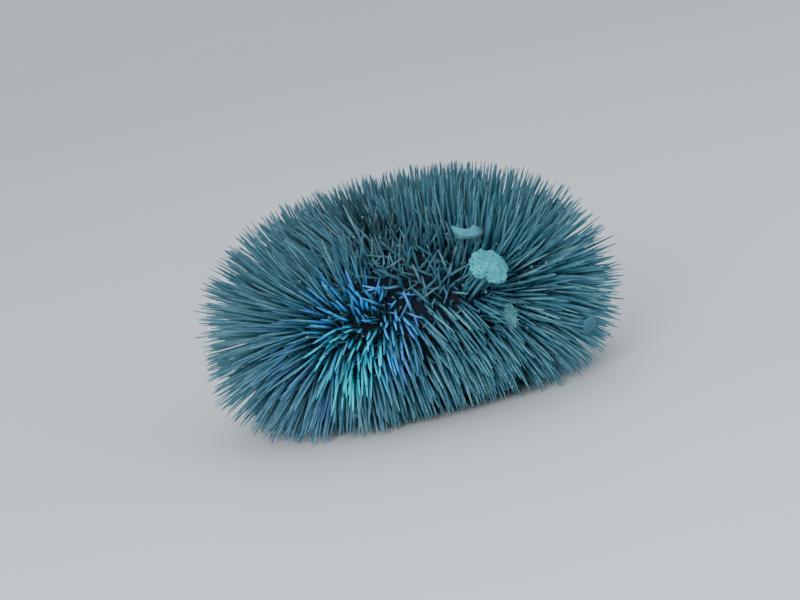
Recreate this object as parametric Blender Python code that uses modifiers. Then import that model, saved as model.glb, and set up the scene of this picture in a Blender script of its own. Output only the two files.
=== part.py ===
"""West Indian sea egg, a domed sea urchin with short pale spines, as a still life-size model.

Metres, +Z up. The origin lies under the middle of the animal, on the floor that its lowest spines
stand on. The test, the animal's shell, is turned from one outline and parted into five ambulacra
and five wider interambulacra, which run from the apical disc on top to the mouth underneath. The
spines are fused to the plates that they grow from, and leave the middle of each ray bare.
"""

import math
import random

import bmesh
import bpy
from mathutils import Matrix, Vector
from mathutils.geometry import intersect_line_line

# Driving sizes of the test
TEST_RADIUS = 0.053
TEST_HEIGHT = 0.0525
UNDERSIDE = 0.0058
AMBITUS_SHARE = 0.47
ROUND_ABOVE = 2.12
ROUND_BELOW = 2.6
OUTLINE_STEPS = 13

# The rays, with the middle of an interambulacrum facing -Y
RAYS = 5
FRONT = math.radians(-90)
RAY_TURN = math.tau / RAYS
INTERAMBULACRUM_HALF = math.radians(22.5)
AMBULACRUM_HALF = math.radians(13.5)
STEP_TURN = math.radians(9)
GAP = 0.0003

# The disc on top and the skin around the mouth
APICAL_RADIUS = 0.0075
APICAL_THICKNESS = 0.0024
APICAL_DOME = 0.0010
PERISTOME_RADIUS = 0.0125
PERISTOME_THICKNESS = 0.0027
PERISTOME_BULGE = 0.0014
MOUTH_RADIUS = 0.0034
DISC_SIDES = 20

# Teeth
TOOTH_LENGTH = 0.0042
TOOTH_ROOT_RADIUS = 0.0007
TOOTH_TIP_RADIUS = 0.0003
TOOTH_PLACE = 0.0017
TOOTH_LEAN = math.radians(17)

# Spines
SPINE_LENGTH = 0.0203
SPINE_RADIUS = 0.0011
SPINE_SIDES = 3
SPINE_SPACING = 0.0040
SPINE_ROOT = 0.0019
SPINE_SWAY = 0.05
ROOT_SWAY = 0.00035
BARE_INTERAMBULACRUM = 0.0026
BARE_AMBULACRUM = 0.0018
EDGE_ROOM = 0.0015
FLOOR_BITE = 0.0009
APICAL_SPINE_LENGTH = 0.0085
ATTEMPTS = 8
REACH_STEPS = 90

# Share of the full length that a spine has, by degrees down from the top of the test
LENGTH_BY_DEGREES = (
    (0, 0.80),
    (15, 0.90),
    (40, 0.97),
    (60, 1.0),
    (100, 1.0),
    (125, 0.84),
    (150, 0.60),
    (180, 0.55),
)
SHORTEST_SHARE = 0.88
LONGEST_SHARE = 1.04

# Worn patches, one above the front and one by the disc on top, where the spines are shorter and
# stand untidily: degrees down, degrees round from the front, half width, half height
WORN_PATCHES = (
    (56.0, 7.0, 0.023, 0.025),
    (14.0, 0.0, 0.010, 0.016),
)
WORN_SHORTER = (0.20, 0.62)
WORN_SWAY = 0.14

# Debris held on the spine tips: degrees down, degrees round from the front, width, height, thickness
DEBRIS = {
    "coral_chip": (71.0, 23.0, 0.0134, 0.0120, 0.0056),
    "shell_flake": (56.5, 22.5, 0.0098, 0.0072, 0.0026),
    "weed_flake": (87.5, 24.5, 0.0050, 0.0096, 0.0022),
    "smooth_chip": (99.0, 51.5, 0.0084, 0.0062, 0.0022),
}
DEBRIS_LIFT = 0.85
DEBRIS_ROUGHNESS = 0.09

SPINE_COLOUR = (0.30, 0.46, 0.48, 1.0)
TEST_COLOUR = (0.05, 0.06, 0.07, 1.0)
MEMBRANE_COLOUR = (0.22, 0.16, 0.15, 1.0)
TOOTH_COLOUR = (0.80, 0.80, 0.74, 1.0)
CORAL_COLOUR = (0.48, 0.72, 0.70, 1.0)
SHELL_COLOUR = (0.45, 0.62, 0.60, 1.0)
WEED_COLOUR = (0.36, 0.48, 0.42, 1.0)


class Spine:
    """A spine as a line from its foot on the test to its tip."""

    def __init__(self, foot, aim, length, node):
        self.foot = foot
        self.aim = aim
        self.length = length
        self.node = node

    @property
    def tip(self):
        return self.foot + self.aim * self.length


def clear_scene():
    for obj in list(bpy.data.objects):
        bpy.data.objects.remove(obj)


def material(name, colour, roughness):
    made = bpy.data.materials.new(name)
    made.use_nodes = True
    shader = made.node_tree.nodes["Principled BSDF"]
    shader.inputs["Base Color"].default_value = colour
    shader.inputs["Roughness"].default_value = roughness
    shader.inputs["Metallic"].default_value = 0.0
    return made


def new_object(name, mesh, collection):
    obj = bpy.data.objects.new(name, mesh)
    collection.objects.link(obj)
    return obj


def object_from(bm, name, collection):
    mesh = bpy.data.meshes.new(name)
    bm.to_mesh(mesh)
    bm.free()
    return new_object(name, mesh, collection)


def apply_modifiers(obj):
    graph = bpy.context.evaluated_depsgraph_get()
    made = bpy.data.meshes.new_from_object(obj.evaluated_get(graph))
    old = obj.data
    obj.modifiers.clear()
    obj.data = made
    bpy.data.meshes.remove(old)


def finish(obj, look):
    obj.data.materials.clear()
    obj.data.materials.append(look)
    obj.data.shade_smooth()
    obj.data.set_sharp_from_angle(angle=math.radians(40))


def section(angle):
    """Radius and height of the test's outline, from 0 at the top to pi underneath."""
    sine = abs(math.sin(angle))
    cosine = math.cos(angle)
    middle = UNDERSIDE + AMBITUS_SHARE * TEST_HEIGHT
    if cosine >= 0:
        rise = (1 - AMBITUS_SHARE) * TEST_HEIGHT * cosine ** (2 / ROUND_ABOVE)
        return Vector((TEST_RADIUS * sine ** (2 / ROUND_ABOVE), middle + rise))
    drop = AMBITUS_SHARE * TEST_HEIGHT * (-cosine) ** (2 / ROUND_BELOW)
    return Vector((TEST_RADIUS * sine ** (2 / ROUND_BELOW), middle - drop))


def outward(angle):
    """Unit normal of the outline at that angle, as radius and height."""
    step = 0.002
    before = section(max(angle - step, step / 2))
    after = section(min(angle + step, math.pi - step / 2))
    along = (after - before).normalized()
    return Vector((-along.y, along.x))


def in_space(flat, around):
    """A point or direction given as radius and height, turned round to an angle about Z."""
    return Vector((flat.x * math.cos(around), flat.x * math.sin(around), flat.y))


def angle_at_radius(radius, low, high):
    """Angle between low and high at which the outline has that radius."""
    rising = section(high).x > section(low).x
    for _ in range(40):
        middle = (low + high) / 2
        if (section(middle).x < radius) == rising:
            low = middle
        else:
            high = middle
    return (low + high) / 2


def even_angles(first, last, spacing):
    """Angles from first to last that lie evenly along the outline, about spacing apart."""
    fine = [first + (last - first) * step / 400 for step in range(401)]
    reach = [0.0]
    for before, after in zip(fine, fine[1:]):
        reach.append(reach[-1] + (section(after) - section(before)).length)
    count = max(1, round(reach[-1] / spacing))
    found = []
    for row in range(count + 1):
        goal = reach[-1] * row / count
        nearest = min(range(len(reach)), key=lambda place: abs(reach[place] - goal))
        found.append(fine[nearest])
    return found


def turned(name, outline, steps, collection):
    """A closed body turned about Z from an outline that runs from the top down."""
    mesh = bpy.data.meshes.new(name)
    edges = [(point, point + 1) for point in range(len(outline) - 1)]
    mesh.from_pydata([(radius, 0.0, height) for radius, height in outline], edges, [])
    obj = new_object(name, mesh, collection)
    screw = obj.modifiers.new("turn", "SCREW")
    screw.steps = steps
    screw.render_steps = steps
    screw.use_merge_vertices = True
    screw.merge_threshold = 0.00001
    apply_modifiers(obj)
    bm = bmesh.new()
    bm.from_mesh(obj.data)
    bmesh.ops.remove_doubles(bm, verts=bm.verts, dist=0.00001)
    bmesh.ops.recalc_face_normals(bm, faces=bm.faces)
    bm.to_mesh(obj.data)
    bm.free()
    return obj


def whole_test(collection):
    """The whole test, with a seat on top for the disc and one below for the mouth's skin."""
    seat = APICAL_RADIUS + GAP
    mouth = PERISTOME_RADIUS + GAP
    first = angle_at_radius(seat, 0.01, 1.0)
    last = angle_at_radius(mouth, 2.0, math.pi - 0.01)
    run = even_angles(first, last, (TEST_RADIUS + TEST_HEIGHT) * 1.3 / OUTLINE_STEPS)
    skin = [tuple(section(angle)) for angle in run]
    floor_of_seat = skin[0][1] - APICAL_THICKNESS
    roof_of_mouth = UNDERSIDE + PERISTOME_THICKNESS + GAP
    outline = [(0, floor_of_seat), (seat, floor_of_seat)] + skin
    outline += [(mouth, roof_of_mouth), (0, roof_of_mouth)]
    test = turned("whole_test", outline, round(math.tau / STEP_TURN), collection)
    turn = Matrix.Rotation(FRONT + INTERAMBULACRUM_HALF, 4, "Z")
    test.data.transform(turn)
    return test


def wedge(middle, half, collection):
    """A tall prism over one ray, which leaves half the gap on each side."""
    far = TEST_RADIUS * 3
    tall = TEST_HEIGHT * 3
    corner = GAP / 2 / math.sin(half)
    apex = Vector((corner * math.cos(middle), corner * math.sin(middle), -TEST_HEIGHT))
    bm = bmesh.new()
    corners = [bm.verts.new(apex)]
    for angle in (middle - half, middle + half):
        corners.append(bm.verts.new(apex + far * Vector((math.cos(angle), math.sin(angle), 0))))
    base = bm.faces.new(corners)
    grown = bmesh.ops.extrude_face_region(bm, geom=[base])["geom"]
    lifted = [part for part in grown if isinstance(part, bmesh.types.BMVert)]
    bmesh.ops.translate(bm, verts=lifted, vec=(0, 0, tall))
    bmesh.ops.recalc_face_normals(bm, faces=bm.faces)
    obj = object_from(bm, "wedge", collection)
    obj.hide_render = True
    obj.display_type = "WIRE"
    return obj


def boolean(obj, operation, other=None, collection=None):
    cut = obj.modifiers.new(operation.lower(), "BOOLEAN")
    cut.operation = operation
    cut.solver = "EXACT"
    if collection is None:
        cut.object = other
    else:
        cut.operand_type = "COLLECTION"
        cut.collection = collection
    apply_modifiers(obj)


def keep_largest(obj):
    """Keep only the largest closed surface of a mesh."""
    bm = bmesh.new()
    bm.from_mesh(obj.data)
    bm.faces.ensure_lookup_table()
    left = set(bm.faces)
    islands = []
    while left:
        island = set()
        front = [left.pop()]
        while front:
            face = front.pop()
            island.add(face)
            for edge in face.edges:
                for other in edge.link_faces:
                    if other in left:
                        left.remove(other)
                        front.append(other)
        islands.append(island)
    largest = max(islands, key=len)
    for island in islands:
        if island is not largest:
            bmesh.ops.delete(bm, geom=list(island), context="FACES")
    bm.to_mesh(obj.data)
    bm.free()


def length_share(angle):
    degrees = math.degrees(angle)
    for (low, share), (high, next_share) in zip(LENGTH_BY_DEGREES, LENGTH_BY_DEGREES[1:]):
        if degrees <= high:
            return share + (next_share - share) * (degrees - low) / (high - low)
    return LENGTH_BY_DEGREES[-1][1]


def worn(foot):
    """How worn the spines at that foot are, from 0 to 1 in the middle of a patch."""
    wear = 0.0
    for down, turn, half_width, half_height in WORN_PATCHES:
        away = foot - in_space(section(math.radians(down)), FRONT + math.radians(turn))
        upward = math.hypot(away.y, away.z)
        wear = max(wear, 1 - math.hypot(away.x / half_width, upward / half_height))
    return wear


def debris_places():
    """Centre, axes and half sizes of each scrap that lies on the spine tips."""
    places = {}
    for name, (down, turn, width, height, thickness) in DEBRIS.items():
        angle = math.radians(down)
        around = FRONT + math.radians(turn)
        lift = SPINE_LENGTH * DEBRIS_LIFT + thickness / 2
        centre = in_space(section(angle) + outward(angle) * lift, around)
        lie = in_space(outward(angle), around).to_track_quat("Z", "Y").to_matrix()
        places[name] = (centre, lie, Vector((width, height, thickness)) / 2)
    return places


def length_under(places, foot, aim, length):
    """Length of a spine, cut or drawn out to end just under a scrap that lies over it."""
    longest = SPINE_LENGTH * LONGEST_SHARE
    for step in range(REACH_STEPS // 3, REACH_STEPS + 1):
        reach = longest * step / REACH_STEPS
        point = foot + aim * reach
        for centre, lie, half in places.values():
            inside = lie.transposed() @ (point - centre)
            room = half + Vector((1, 1, 1)) * GAP
            if Vector(inside[axis] / room[axis] for axis in range(3)).length < 1:
                return reach - longest / REACH_STEPS
    return length


def apart(one, other):
    """Whether two spines keep clear of each other by the gap."""
    if (one.foot - other.foot).length > 1.3 * SPINE_LENGTH:
        return True
    near = intersect_line_line(one.foot, one.tip, other.foot, other.tip)
    pairs = []
    if near is not None:
        pairs.append(((near[0] - one.foot).dot(one.aim), (near[1] - other.foot).dot(other.aim)))
    for end in (0.0, one.length):
        point = one.foot + one.aim * end
        pairs.append((end, (point - other.foot).dot(other.aim)))
    for end in (0.0, other.length):
        point = other.foot + other.aim * end
        pairs.append(((point - one.foot).dot(one.aim), end))
    for here, there in pairs:
        here = min(max(here, 0.0), one.length)
        there = min(max(there, 0.0), other.length)
        distance = ((one.foot + one.aim * here) - (other.foot + other.aim * there)).length
        thick = spine_radius(here / one.length) + spine_radius(there / other.length)
        if distance < thick + GAP:
            return False
    return True


def spine_radius(share):
    """Radius of a spine at a share of its length."""
    return SPINE_RADIUS * (1 - share)


def aimed(foot, aim, length):
    """The aim of a spine, splayed outwards where it would pass the floor."""
    if foot.z + aim.z * length >= 0:
        return aim
    down = -(foot.z + FLOOR_BITE) / length
    flat = Vector((aim.x, aim.y, 0))
    if flat.length < 0.05:
        flat = Vector((foot.x, foot.y, 0))
    flat.normalize()
    flat *= math.sqrt(1 - down * down)
    return Vector((flat.x, flat.y, down))


def grow(draw, angle, around, node, places, grown):
    """Add one spine to those grown so far, if it finds room."""
    foot = in_space(section(angle), around)
    normal = in_space(outward(angle), around)
    wear = worn(foot)
    for attempt in range(ATTEMPTS):
        sway = (SPINE_SWAY + WORN_SWAY * wear) * (1 + attempt / 4)
        aim = normal + Vector((draw.gauss(0, sway), draw.gauss(0, sway), draw.gauss(0, sway)))
        aim.normalize()
        length = SPINE_LENGTH * length_share(angle) * draw.uniform(SHORTEST_SHARE, LONGEST_SHARE)
        length *= 1 - wear * draw.uniform(*WORN_SHORTER)
        aim = aimed(foot, aim, length)
        length = length_under(places, foot, aim, length)
        spine = Spine(foot, aim, length, node)
        if all(apart(spine, other) for other in grown):
            grown.append(spine)
            return


def apical_spines(grown):
    """Short spines on the plates of the disc on top."""
    top = section(angle_at_radius(APICAL_RADIUS, 0.01, 1.0)).y
    for ring, radius in enumerate((APICAL_RADIUS * 0.40, APICAL_RADIUS * 0.72)):
        for number in range(RAYS):
            around = FRONT + RAY_TURN * (number + ring / 2)
            foot = Vector((radius * math.cos(around), radius * math.sin(around), top + APICAL_DOME / 2))
            aim = Vector((math.cos(around) * 0.25, math.sin(around) * 0.25, 1)).normalized()
            grown.append(Spine(foot, aim, APICAL_SPINE_LENGTH, "apical_disc"))


def plan_spines(places):
    """Place the spines in rows round the test, in a band on each side of every bare middle."""
    draw = random.Random(7)
    grown = []
    apical_spines(grown)
    first = angle_at_radius(APICAL_RADIUS + GAP + EDGE_ROOM, 0.01, 1.0)
    last = angle_at_radius(PERISTOME_RADIUS + 2 * EDGE_ROOM, 2.0, math.pi - 0.01)
    for row, angle in enumerate(even_angles(first, last, SPINE_SPACING)):
        radius = section(angle).x
        bare_inter = min(BARE_INTERAMBULACRUM, radius * 0.1) / radius
        bare_amb = min(BARE_AMBULACRUM, radius * 0.1) / radius
        width = RAY_TURN / 2 - bare_inter - bare_amb
        columns = max(1, round(width * radius / SPINE_SPACING))
        for ray in range(RAYS):
            for side in (-1, 1):
                for column in range(columns + 1 - row % 2):
                    share = (column + (row % 2) / 2) / columns
                    off = bare_inter + width * share + draw.gauss(0, ROOT_SWAY) / radius
                    room = EDGE_ROOM / radius
                    if off < INTERAMBULACRUM_HALF:
                        off = min(off, INTERAMBULACRUM_HALF - room)
                        node = f"interambulacrum_{ray + 1}"
                    else:
                        off = max(off, INTERAMBULACRUM_HALF + room)
                        number = ray if side > 0 else (ray - 1) % RAYS
                        node = f"ambulacrum_{number + 1}"
                    around = FRONT + RAY_TURN * ray + side * off
                    grow(draw, angle, around, node, places, grown)
    return grown


def spine_template(collection):
    """A spine one unit long that tapers from its root to a point."""
    root = SPINE_ROOT / SPINE_LENGTH
    outline = [(0, 1), (1, -root), (0, -root)]
    return turned("spine_template", outline, SPINE_SIDES, collection)


def spine_object(template, spine, collection):
    """One spine in its place, ending in a small flat where it stands on the floor."""
    turn = spine.aim.to_track_quat("Z", "Y").to_matrix().to_4x4()
    size = Matrix.Diagonal((SPINE_RADIUS, SPINE_RADIUS, spine.length, 1))
    bm = bmesh.new()
    bm.from_mesh(template.data)
    bmesh.ops.transform(bm, matrix=Matrix.Translation(spine.foot) @ turn @ size, verts=bm.verts)
    if spine.tip.z < 0:
        whole = list(bm.verts) + list(bm.edges) + list(bm.faces)
        floor = {"plane_co": (0, 0, 0), "plane_no": (0, 0, -1)}
        cut = bmesh.ops.bisect_plane(bm, geom=whole, clear_outer=True, **floor)
        rim = [part for part in cut["geom_cut"] if isinstance(part, bmesh.types.BMEdge)]
        bmesh.ops.contextual_create(bm, geom=rim)
        bmesh.ops.recalc_face_normals(bm, faces=bm.faces)
    return object_from(bm, "spine", collection)


def fuse_spines(obj, spines, template, scratch):
    """Join a node's spines to it in one union."""
    bundle = bpy.data.collections.new("bundle")
    scratch.children.link(bundle)
    for spine in spines:
        spine_object(template, spine, bundle)
    boolean(obj, "UNION", collection=bundle)
    for piece in list(bundle.objects):
        bpy.data.objects.remove(piece)
    bpy.data.collections.remove(bundle)
    keep_largest(obj)


def ray_node(name, whole, middle, half, parts, scratch):
    """One ray of the test, cut from the whole."""
    cutter = wedge(middle, half, scratch)
    obj = new_object(name, whole.data.copy(), parts)
    boolean(obj, "INTERSECT", other=cutter)
    bpy.data.objects.remove(cutter)
    return obj


def apical_disc(parts):
    """The low dome of plates on top of the test."""
    top = section(angle_at_radius(APICAL_RADIUS + GAP, 0.01, 1.0)).y
    base = top - APICAL_THICKNESS + GAP
    outline = [
        (0, top + APICAL_DOME),
        (APICAL_RADIUS * 0.5, top + APICAL_DOME * 0.75),
        (APICAL_RADIUS, top),
        (APICAL_RADIUS, base),
        (0, base),
    ]
    return turned("apical_disc", outline, DISC_SIDES, parts)


def peristome(parts):
    """The skin around the mouth, a ring that bulges down towards its lips."""
    roof = UNDERSIDE + PERISTOME_THICKNESS
    outline = [
        (MOUTH_RADIUS, roof),
        (PERISTOME_RADIUS, roof),
        (PERISTOME_RADIUS, UNDERSIDE),
        (MOUTH_RADIUS * 1.8, UNDERSIDE - PERISTOME_BULGE),
        (MOUTH_RADIUS, UNDERSIDE - PERISTOME_BULGE * 0.8),
        (MOUTH_RADIUS, roof),
    ]
    return turned("peristome", outline, DISC_SIDES, parts)


def tooth(number, parts):
    """One of the five teeth whose points meet in the mouth."""
    roof = UNDERSIDE + PERISTOME_THICKNESS
    bm = bmesh.new()
    bmesh.ops.create_cone(
        bm, cap_ends=True, segments=6, radius1=TOOTH_TIP_RADIUS, radius2=TOOTH_ROOT_RADIUS, depth=TOOTH_LENGTH
    )
    around = Matrix.Rotation(FRONT + RAY_TURN * (number + 0.5), 4, "Z")
    place = Matrix.Translation((TOOTH_PLACE, 0, roof - TOOTH_LENGTH / 2))
    lean = Matrix.Rotation(TOOTH_LEAN, 4, "Y")
    bmesh.ops.transform(bm, matrix=around @ place @ lean, verts=bm.verts)
    for vert in bm.verts:
        if vert.co.z > roof - TOOTH_LENGTH / 2:
            vert.co.z = roof
    return object_from(bm, f"tooth_{number + 1}", parts)


def debris(name, place, parts):
    """A scrap of coral, shell or weed that the animal holds on its spine tips."""
    centre, lie, half = place
    draw = random.Random(name)
    bm = bmesh.new()
    bmesh.ops.create_icosphere(bm, subdivisions=2, radius=1.0)
    for vert in bm.verts:
        vert.co *= draw.uniform(1 - DEBRIS_ROUGHNESS, 1.0)
    size = Matrix.Diagonal((*half, 1))
    bmesh.ops.transform(bm, matrix=Matrix.Translation(centre) @ lie.to_4x4() @ size, verts=bm.verts)
    return object_from(bm, name, parts)


def centre_over_origin(parts):
    """Slide the whole model so that its box is centred over the origin."""
    corners = [vert.co for obj in parts.objects for vert in obj.data.vertices]
    shift = Vector((0, 0, 0))
    for axis in (0, 1):
        values = [corner[axis] for corner in corners]
        shift[axis] = -(min(values) + max(values)) / 2
    for obj in parts.objects:
        obj.data.transform(Matrix.Translation(shift))


def main():
    clear_scene()
    parts = bpy.data.collections.new("sea_egg")
    scratch = bpy.data.collections.new("cutters")
    for collection in (parts, scratch):
        bpy.context.scene.collection.children.link(collection)
    spiny = material("spines", SPINE_COLOUR, 0.55)
    places = debris_places()
    spines = plan_spines(places)
    template = spine_template(scratch)
    whole = whole_test(scratch)
    nodes = {"apical_disc": apical_disc(parts)}
    for ray in range(RAYS):
        middle = FRONT + RAY_TURN * ray
        name = f"interambulacrum_{ray + 1}"
        nodes[name] = ray_node(name, whole, middle, INTERAMBULACRUM_HALF, parts, scratch)
        name = f"ambulacrum_{ray + 1}"
        nodes[name] = ray_node(name, whole, middle + RAY_TURN / 2, AMBULACRUM_HALF, parts, scratch)
    for name, obj in nodes.items():
        fuse_spines(obj, [spine for spine in spines if spine.node == name], template, scratch)
        finish(obj, spiny)
    bpy.data.objects.remove(whole)
    bpy.data.objects.remove(template)
    finish(nodes["apical_disc"], material("test", TEST_COLOUR, 0.6))
    finish(peristome(parts), material("membrane", MEMBRANE_COLOUR, 0.5))
    enamel = material("teeth", TOOTH_COLOUR, 0.35)
    for number in range(RAYS):
        finish(tooth(number, parts), enamel)
    looks = {
        "coral_chip": material("coral", CORAL_COLOUR, 0.85),
        "shell_flake": material("shell", SHELL_COLOUR, 0.7),
        "weed_flake": material("weed", WEED_COLOUR, 0.8),
    }
    looks["smooth_chip"] = looks["shell_flake"]
    for name, place in places.items():
        finish(debris(name, place, parts), looks[name])
    centre_over_origin(parts)


main()
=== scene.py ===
"""The looks of a west indian sea egg, a domed sea urchin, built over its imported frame.

Metres, +Z up, the front of the animal towards -Y. One dark skin covers the test. Over it grow the
long spines in rows, with bare lines between them, short spines, tube feet and tiny pincers. The
animal holds scraps of coral, shell and weed on its spine tips, and stands on a pale studio floor.

Places on the test are given in degrees down from its top and degrees round from its front, where a
positive turn goes towards +X, the right of the view.
"""

import math

import bpy
import numpy as np
from bpy.props import FloatProperty, FloatVectorProperty, IntProperty, PointerProperty
from mathutils import Matrix, Vector


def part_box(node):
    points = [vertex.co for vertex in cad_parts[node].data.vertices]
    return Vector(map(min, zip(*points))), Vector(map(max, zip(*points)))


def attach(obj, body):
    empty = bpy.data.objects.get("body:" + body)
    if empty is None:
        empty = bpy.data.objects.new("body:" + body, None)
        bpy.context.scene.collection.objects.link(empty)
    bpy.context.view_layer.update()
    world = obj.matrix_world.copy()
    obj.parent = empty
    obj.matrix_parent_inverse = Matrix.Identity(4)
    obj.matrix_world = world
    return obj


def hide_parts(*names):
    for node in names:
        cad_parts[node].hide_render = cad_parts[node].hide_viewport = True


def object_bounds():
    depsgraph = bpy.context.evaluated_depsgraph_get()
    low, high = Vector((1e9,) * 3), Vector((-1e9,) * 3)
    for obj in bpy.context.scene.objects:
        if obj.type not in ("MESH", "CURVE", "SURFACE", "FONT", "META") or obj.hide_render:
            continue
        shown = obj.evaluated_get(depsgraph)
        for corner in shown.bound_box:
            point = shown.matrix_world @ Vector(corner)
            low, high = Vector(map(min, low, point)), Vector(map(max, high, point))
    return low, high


bl_info = {
    "name": "West Indian Sea Egg",
    "version": (1, 0, 0),
    "blender": (4, 5, 0),
    "location": "3D View > Sidebar > Sea Egg",
    "description": "Builds the test, spines, tube feet, mouth and debris of a west indian sea egg",
    "category": "Object",
}

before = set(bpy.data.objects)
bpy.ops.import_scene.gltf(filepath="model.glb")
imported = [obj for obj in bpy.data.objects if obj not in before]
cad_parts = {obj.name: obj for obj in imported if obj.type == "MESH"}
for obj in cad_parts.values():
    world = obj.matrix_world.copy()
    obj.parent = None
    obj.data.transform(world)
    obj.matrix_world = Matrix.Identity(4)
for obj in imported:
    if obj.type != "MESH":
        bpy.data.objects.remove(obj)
CAD_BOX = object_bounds()

RAYS = 5
RAY_TURN = math.tau / RAYS
FRONT = -math.pi / 2
TABLE_STEPS = 1200

# Seeds of the random draws
SEEDS = {
    "long_spines": 11,
    "wide_drift": 11,
    "short_spines": 12,
    "tubercles": 13,
    "tube_feet": 14,
    "pincers": 15,
    "apical_spines": 16,
    "stout_feet": 17,
    "teeth": 18,
    "loose_spines": 19,
    "coral_lumps": 21,
    "coral_grain": 22,
    "weed_lumps": 31,
    "weed_threads": 31,
    "fine_drift": 41,
}

# On the flat maps: the reach of the whole test, the reach of the round pieces in its top and its
# mouth, and the width of the patch that each spine has at the place of its root
TEST_REACH = 0.48
ROUND_REACH = 0.4
PATCH = 0.003

# Room between the skin of the test and the round pieces in its top and its mouth
EDGE_ROOM = 0.0003

# Radius of the smallest ring of a round piece, as a share of the radius of the piece
POLE_SHARE = 0.02

# Height that the tip of a spine keeps over the floor, as a share of its radius
TIP_SHARE = 0.6

# Share of the full length that a spine has, by degrees down from the top of the test
LENGTH_DEGREES = (0, 15, 40, 60, 100, 125, 150, 180)
LENGTH_SHARES = (0.80, 0.90, 0.97, 1.0, 1.0, 0.84, 0.60, 0.55)

# Worn patches above the front and by the disc on top, where the spines are shorter, fewer and
# untidy: degrees down, degrees round from the front, half width, half height
WORN_PATCHES = (
    (46.5, 3.5, 0.0215, 0.0195),
    (23.0, -12.0, 0.0070, 0.0150),
)

# Where spines are combed aside: degrees down, degrees round from the front, the radius inside which
# the lean is full, the radius where it ends, and the lean
COMBED = (
    (79.0, -8.0, 0.012, 0.042, (0.26, 0.0, 0.0)),
    (88.0, 9.0, 0.008, 0.026, (0.0, 0.0, -0.50)),
    (94.0, 38.0, 0.015, 0.055, (-0.08, 0.0, -0.28)),
    (98.0, -40.0, 0.015, 0.060, (0.05, 0.0, -0.18)),
    (27.0, -46.0, 0.010, 0.0165, (-0.60, 0.0, 0.0)),
)

# Where spines are shorter, on the right and low in front, or longer, on the left: degrees down,
# degrees round from the front, the radius inside which the change is full, the radius where it ends,
# and the share of length added
LENGTH_CHANGES = (
    (56.0, 70.0, 0.006, 0.027, -0.17),
    (109.0, 13.0, 0.014, 0.038, -0.28),
    (112.0, -68.0, 0.014, 0.032, 0.17),
    (47.0, -78.0, 0.008, 0.024, 0.10),
)

# Painted light on the spines left of the front, first the blue, then the cyan below it:
# degrees down, degrees round, height over the test, the radius inside which it is full, the radius where it
# ends
LIGHT_SPOTS = (
    (80.0, -17.0, 0.013, 0.0170, 0.0240),
    (92.5, -23.0, 0.014, 0.0112, 0.0172),
)

# The faint violet light painted on the spines left of the cyan, and the painted shade in the gap left of the
# disc on top:
# degrees down, degrees round, the radius inside which each is full, the radius where it ends
FAINT_LIGHT = (96.0, -39.0, 0.004, 0.021)
GAP_SHADE = (11.0, -35.0, 0.005, 0.013)

# The scraps: degrees down, degrees round from the front, width, height, thickness
SCRAPS = {
    "coral_chip": (71.0, 23.0, 0.0134, 0.0120, 0.0056),
    "shell_flake": (56.5, 22.5, 0.0098, 0.0072, 0.0026),
    "weed_flake": (87.5, 24.5, 0.0050, 0.0096, 0.0022),
    "smooth_chip": (99.0, 51.5, 0.0084, 0.0062, 0.0022),
}

# Profiles run from root to tip, as share of the length and share of the radius
LONG_PROFILE = (
    (-0.06, 0.0), (-0.06, 0.9), (0.0, 1.0), (0.02, 1.3), (0.042, 1.3), (0.062, 1.02),
    (0.26, 1.02), (0.48, 0.93), (0.67, 0.79), (0.82, 0.62), (0.92, 0.45), (0.97, 0.32),
    (0.994, 0.18), (1.0, 0.0),
)
SHORT_PROFILE = (
    (-0.12, 0.0), (-0.12, 0.7), (0.05, 0.9), (0.35, 1.0), (0.7, 0.8), (0.93, 0.42), (1.0, 0.0),
)
BOSS_PROFILE = ((-0.4, 0.0), (-0.4, 1.25), (0.2, 1.1), (0.6, 0.6), (0.9, 0.45), (1.0, 0.0))
FOOT_PROFILE = (
    (-0.05, 0.0), (-0.05, 1.2), (0.1, 1.0), (0.3, 0.85), (0.5, 0.9), (0.7, 0.8), (0.88, 0.85),
    (0.93, 1.3), (0.96, 2.2), (0.985, 2.3), (0.995, 1.4), (1.0, 0.0),
)
PINCER_PROFILE = (
    (-0.1, 0.0), (-0.1, 0.4), (0.2, 0.35), (0.55, 0.4), (0.68, 0.9), (0.8, 1.5), (0.9, 1.2), (1.0, 0.0),
)
TOOTH_PROFILE = (
    (0.0, 0.0), (0.0, 1.0), (0.3, 1.0), (0.6, 0.85), (0.85, 0.6), (0.97, 0.42), (1.0, 0.0),
)


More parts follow.
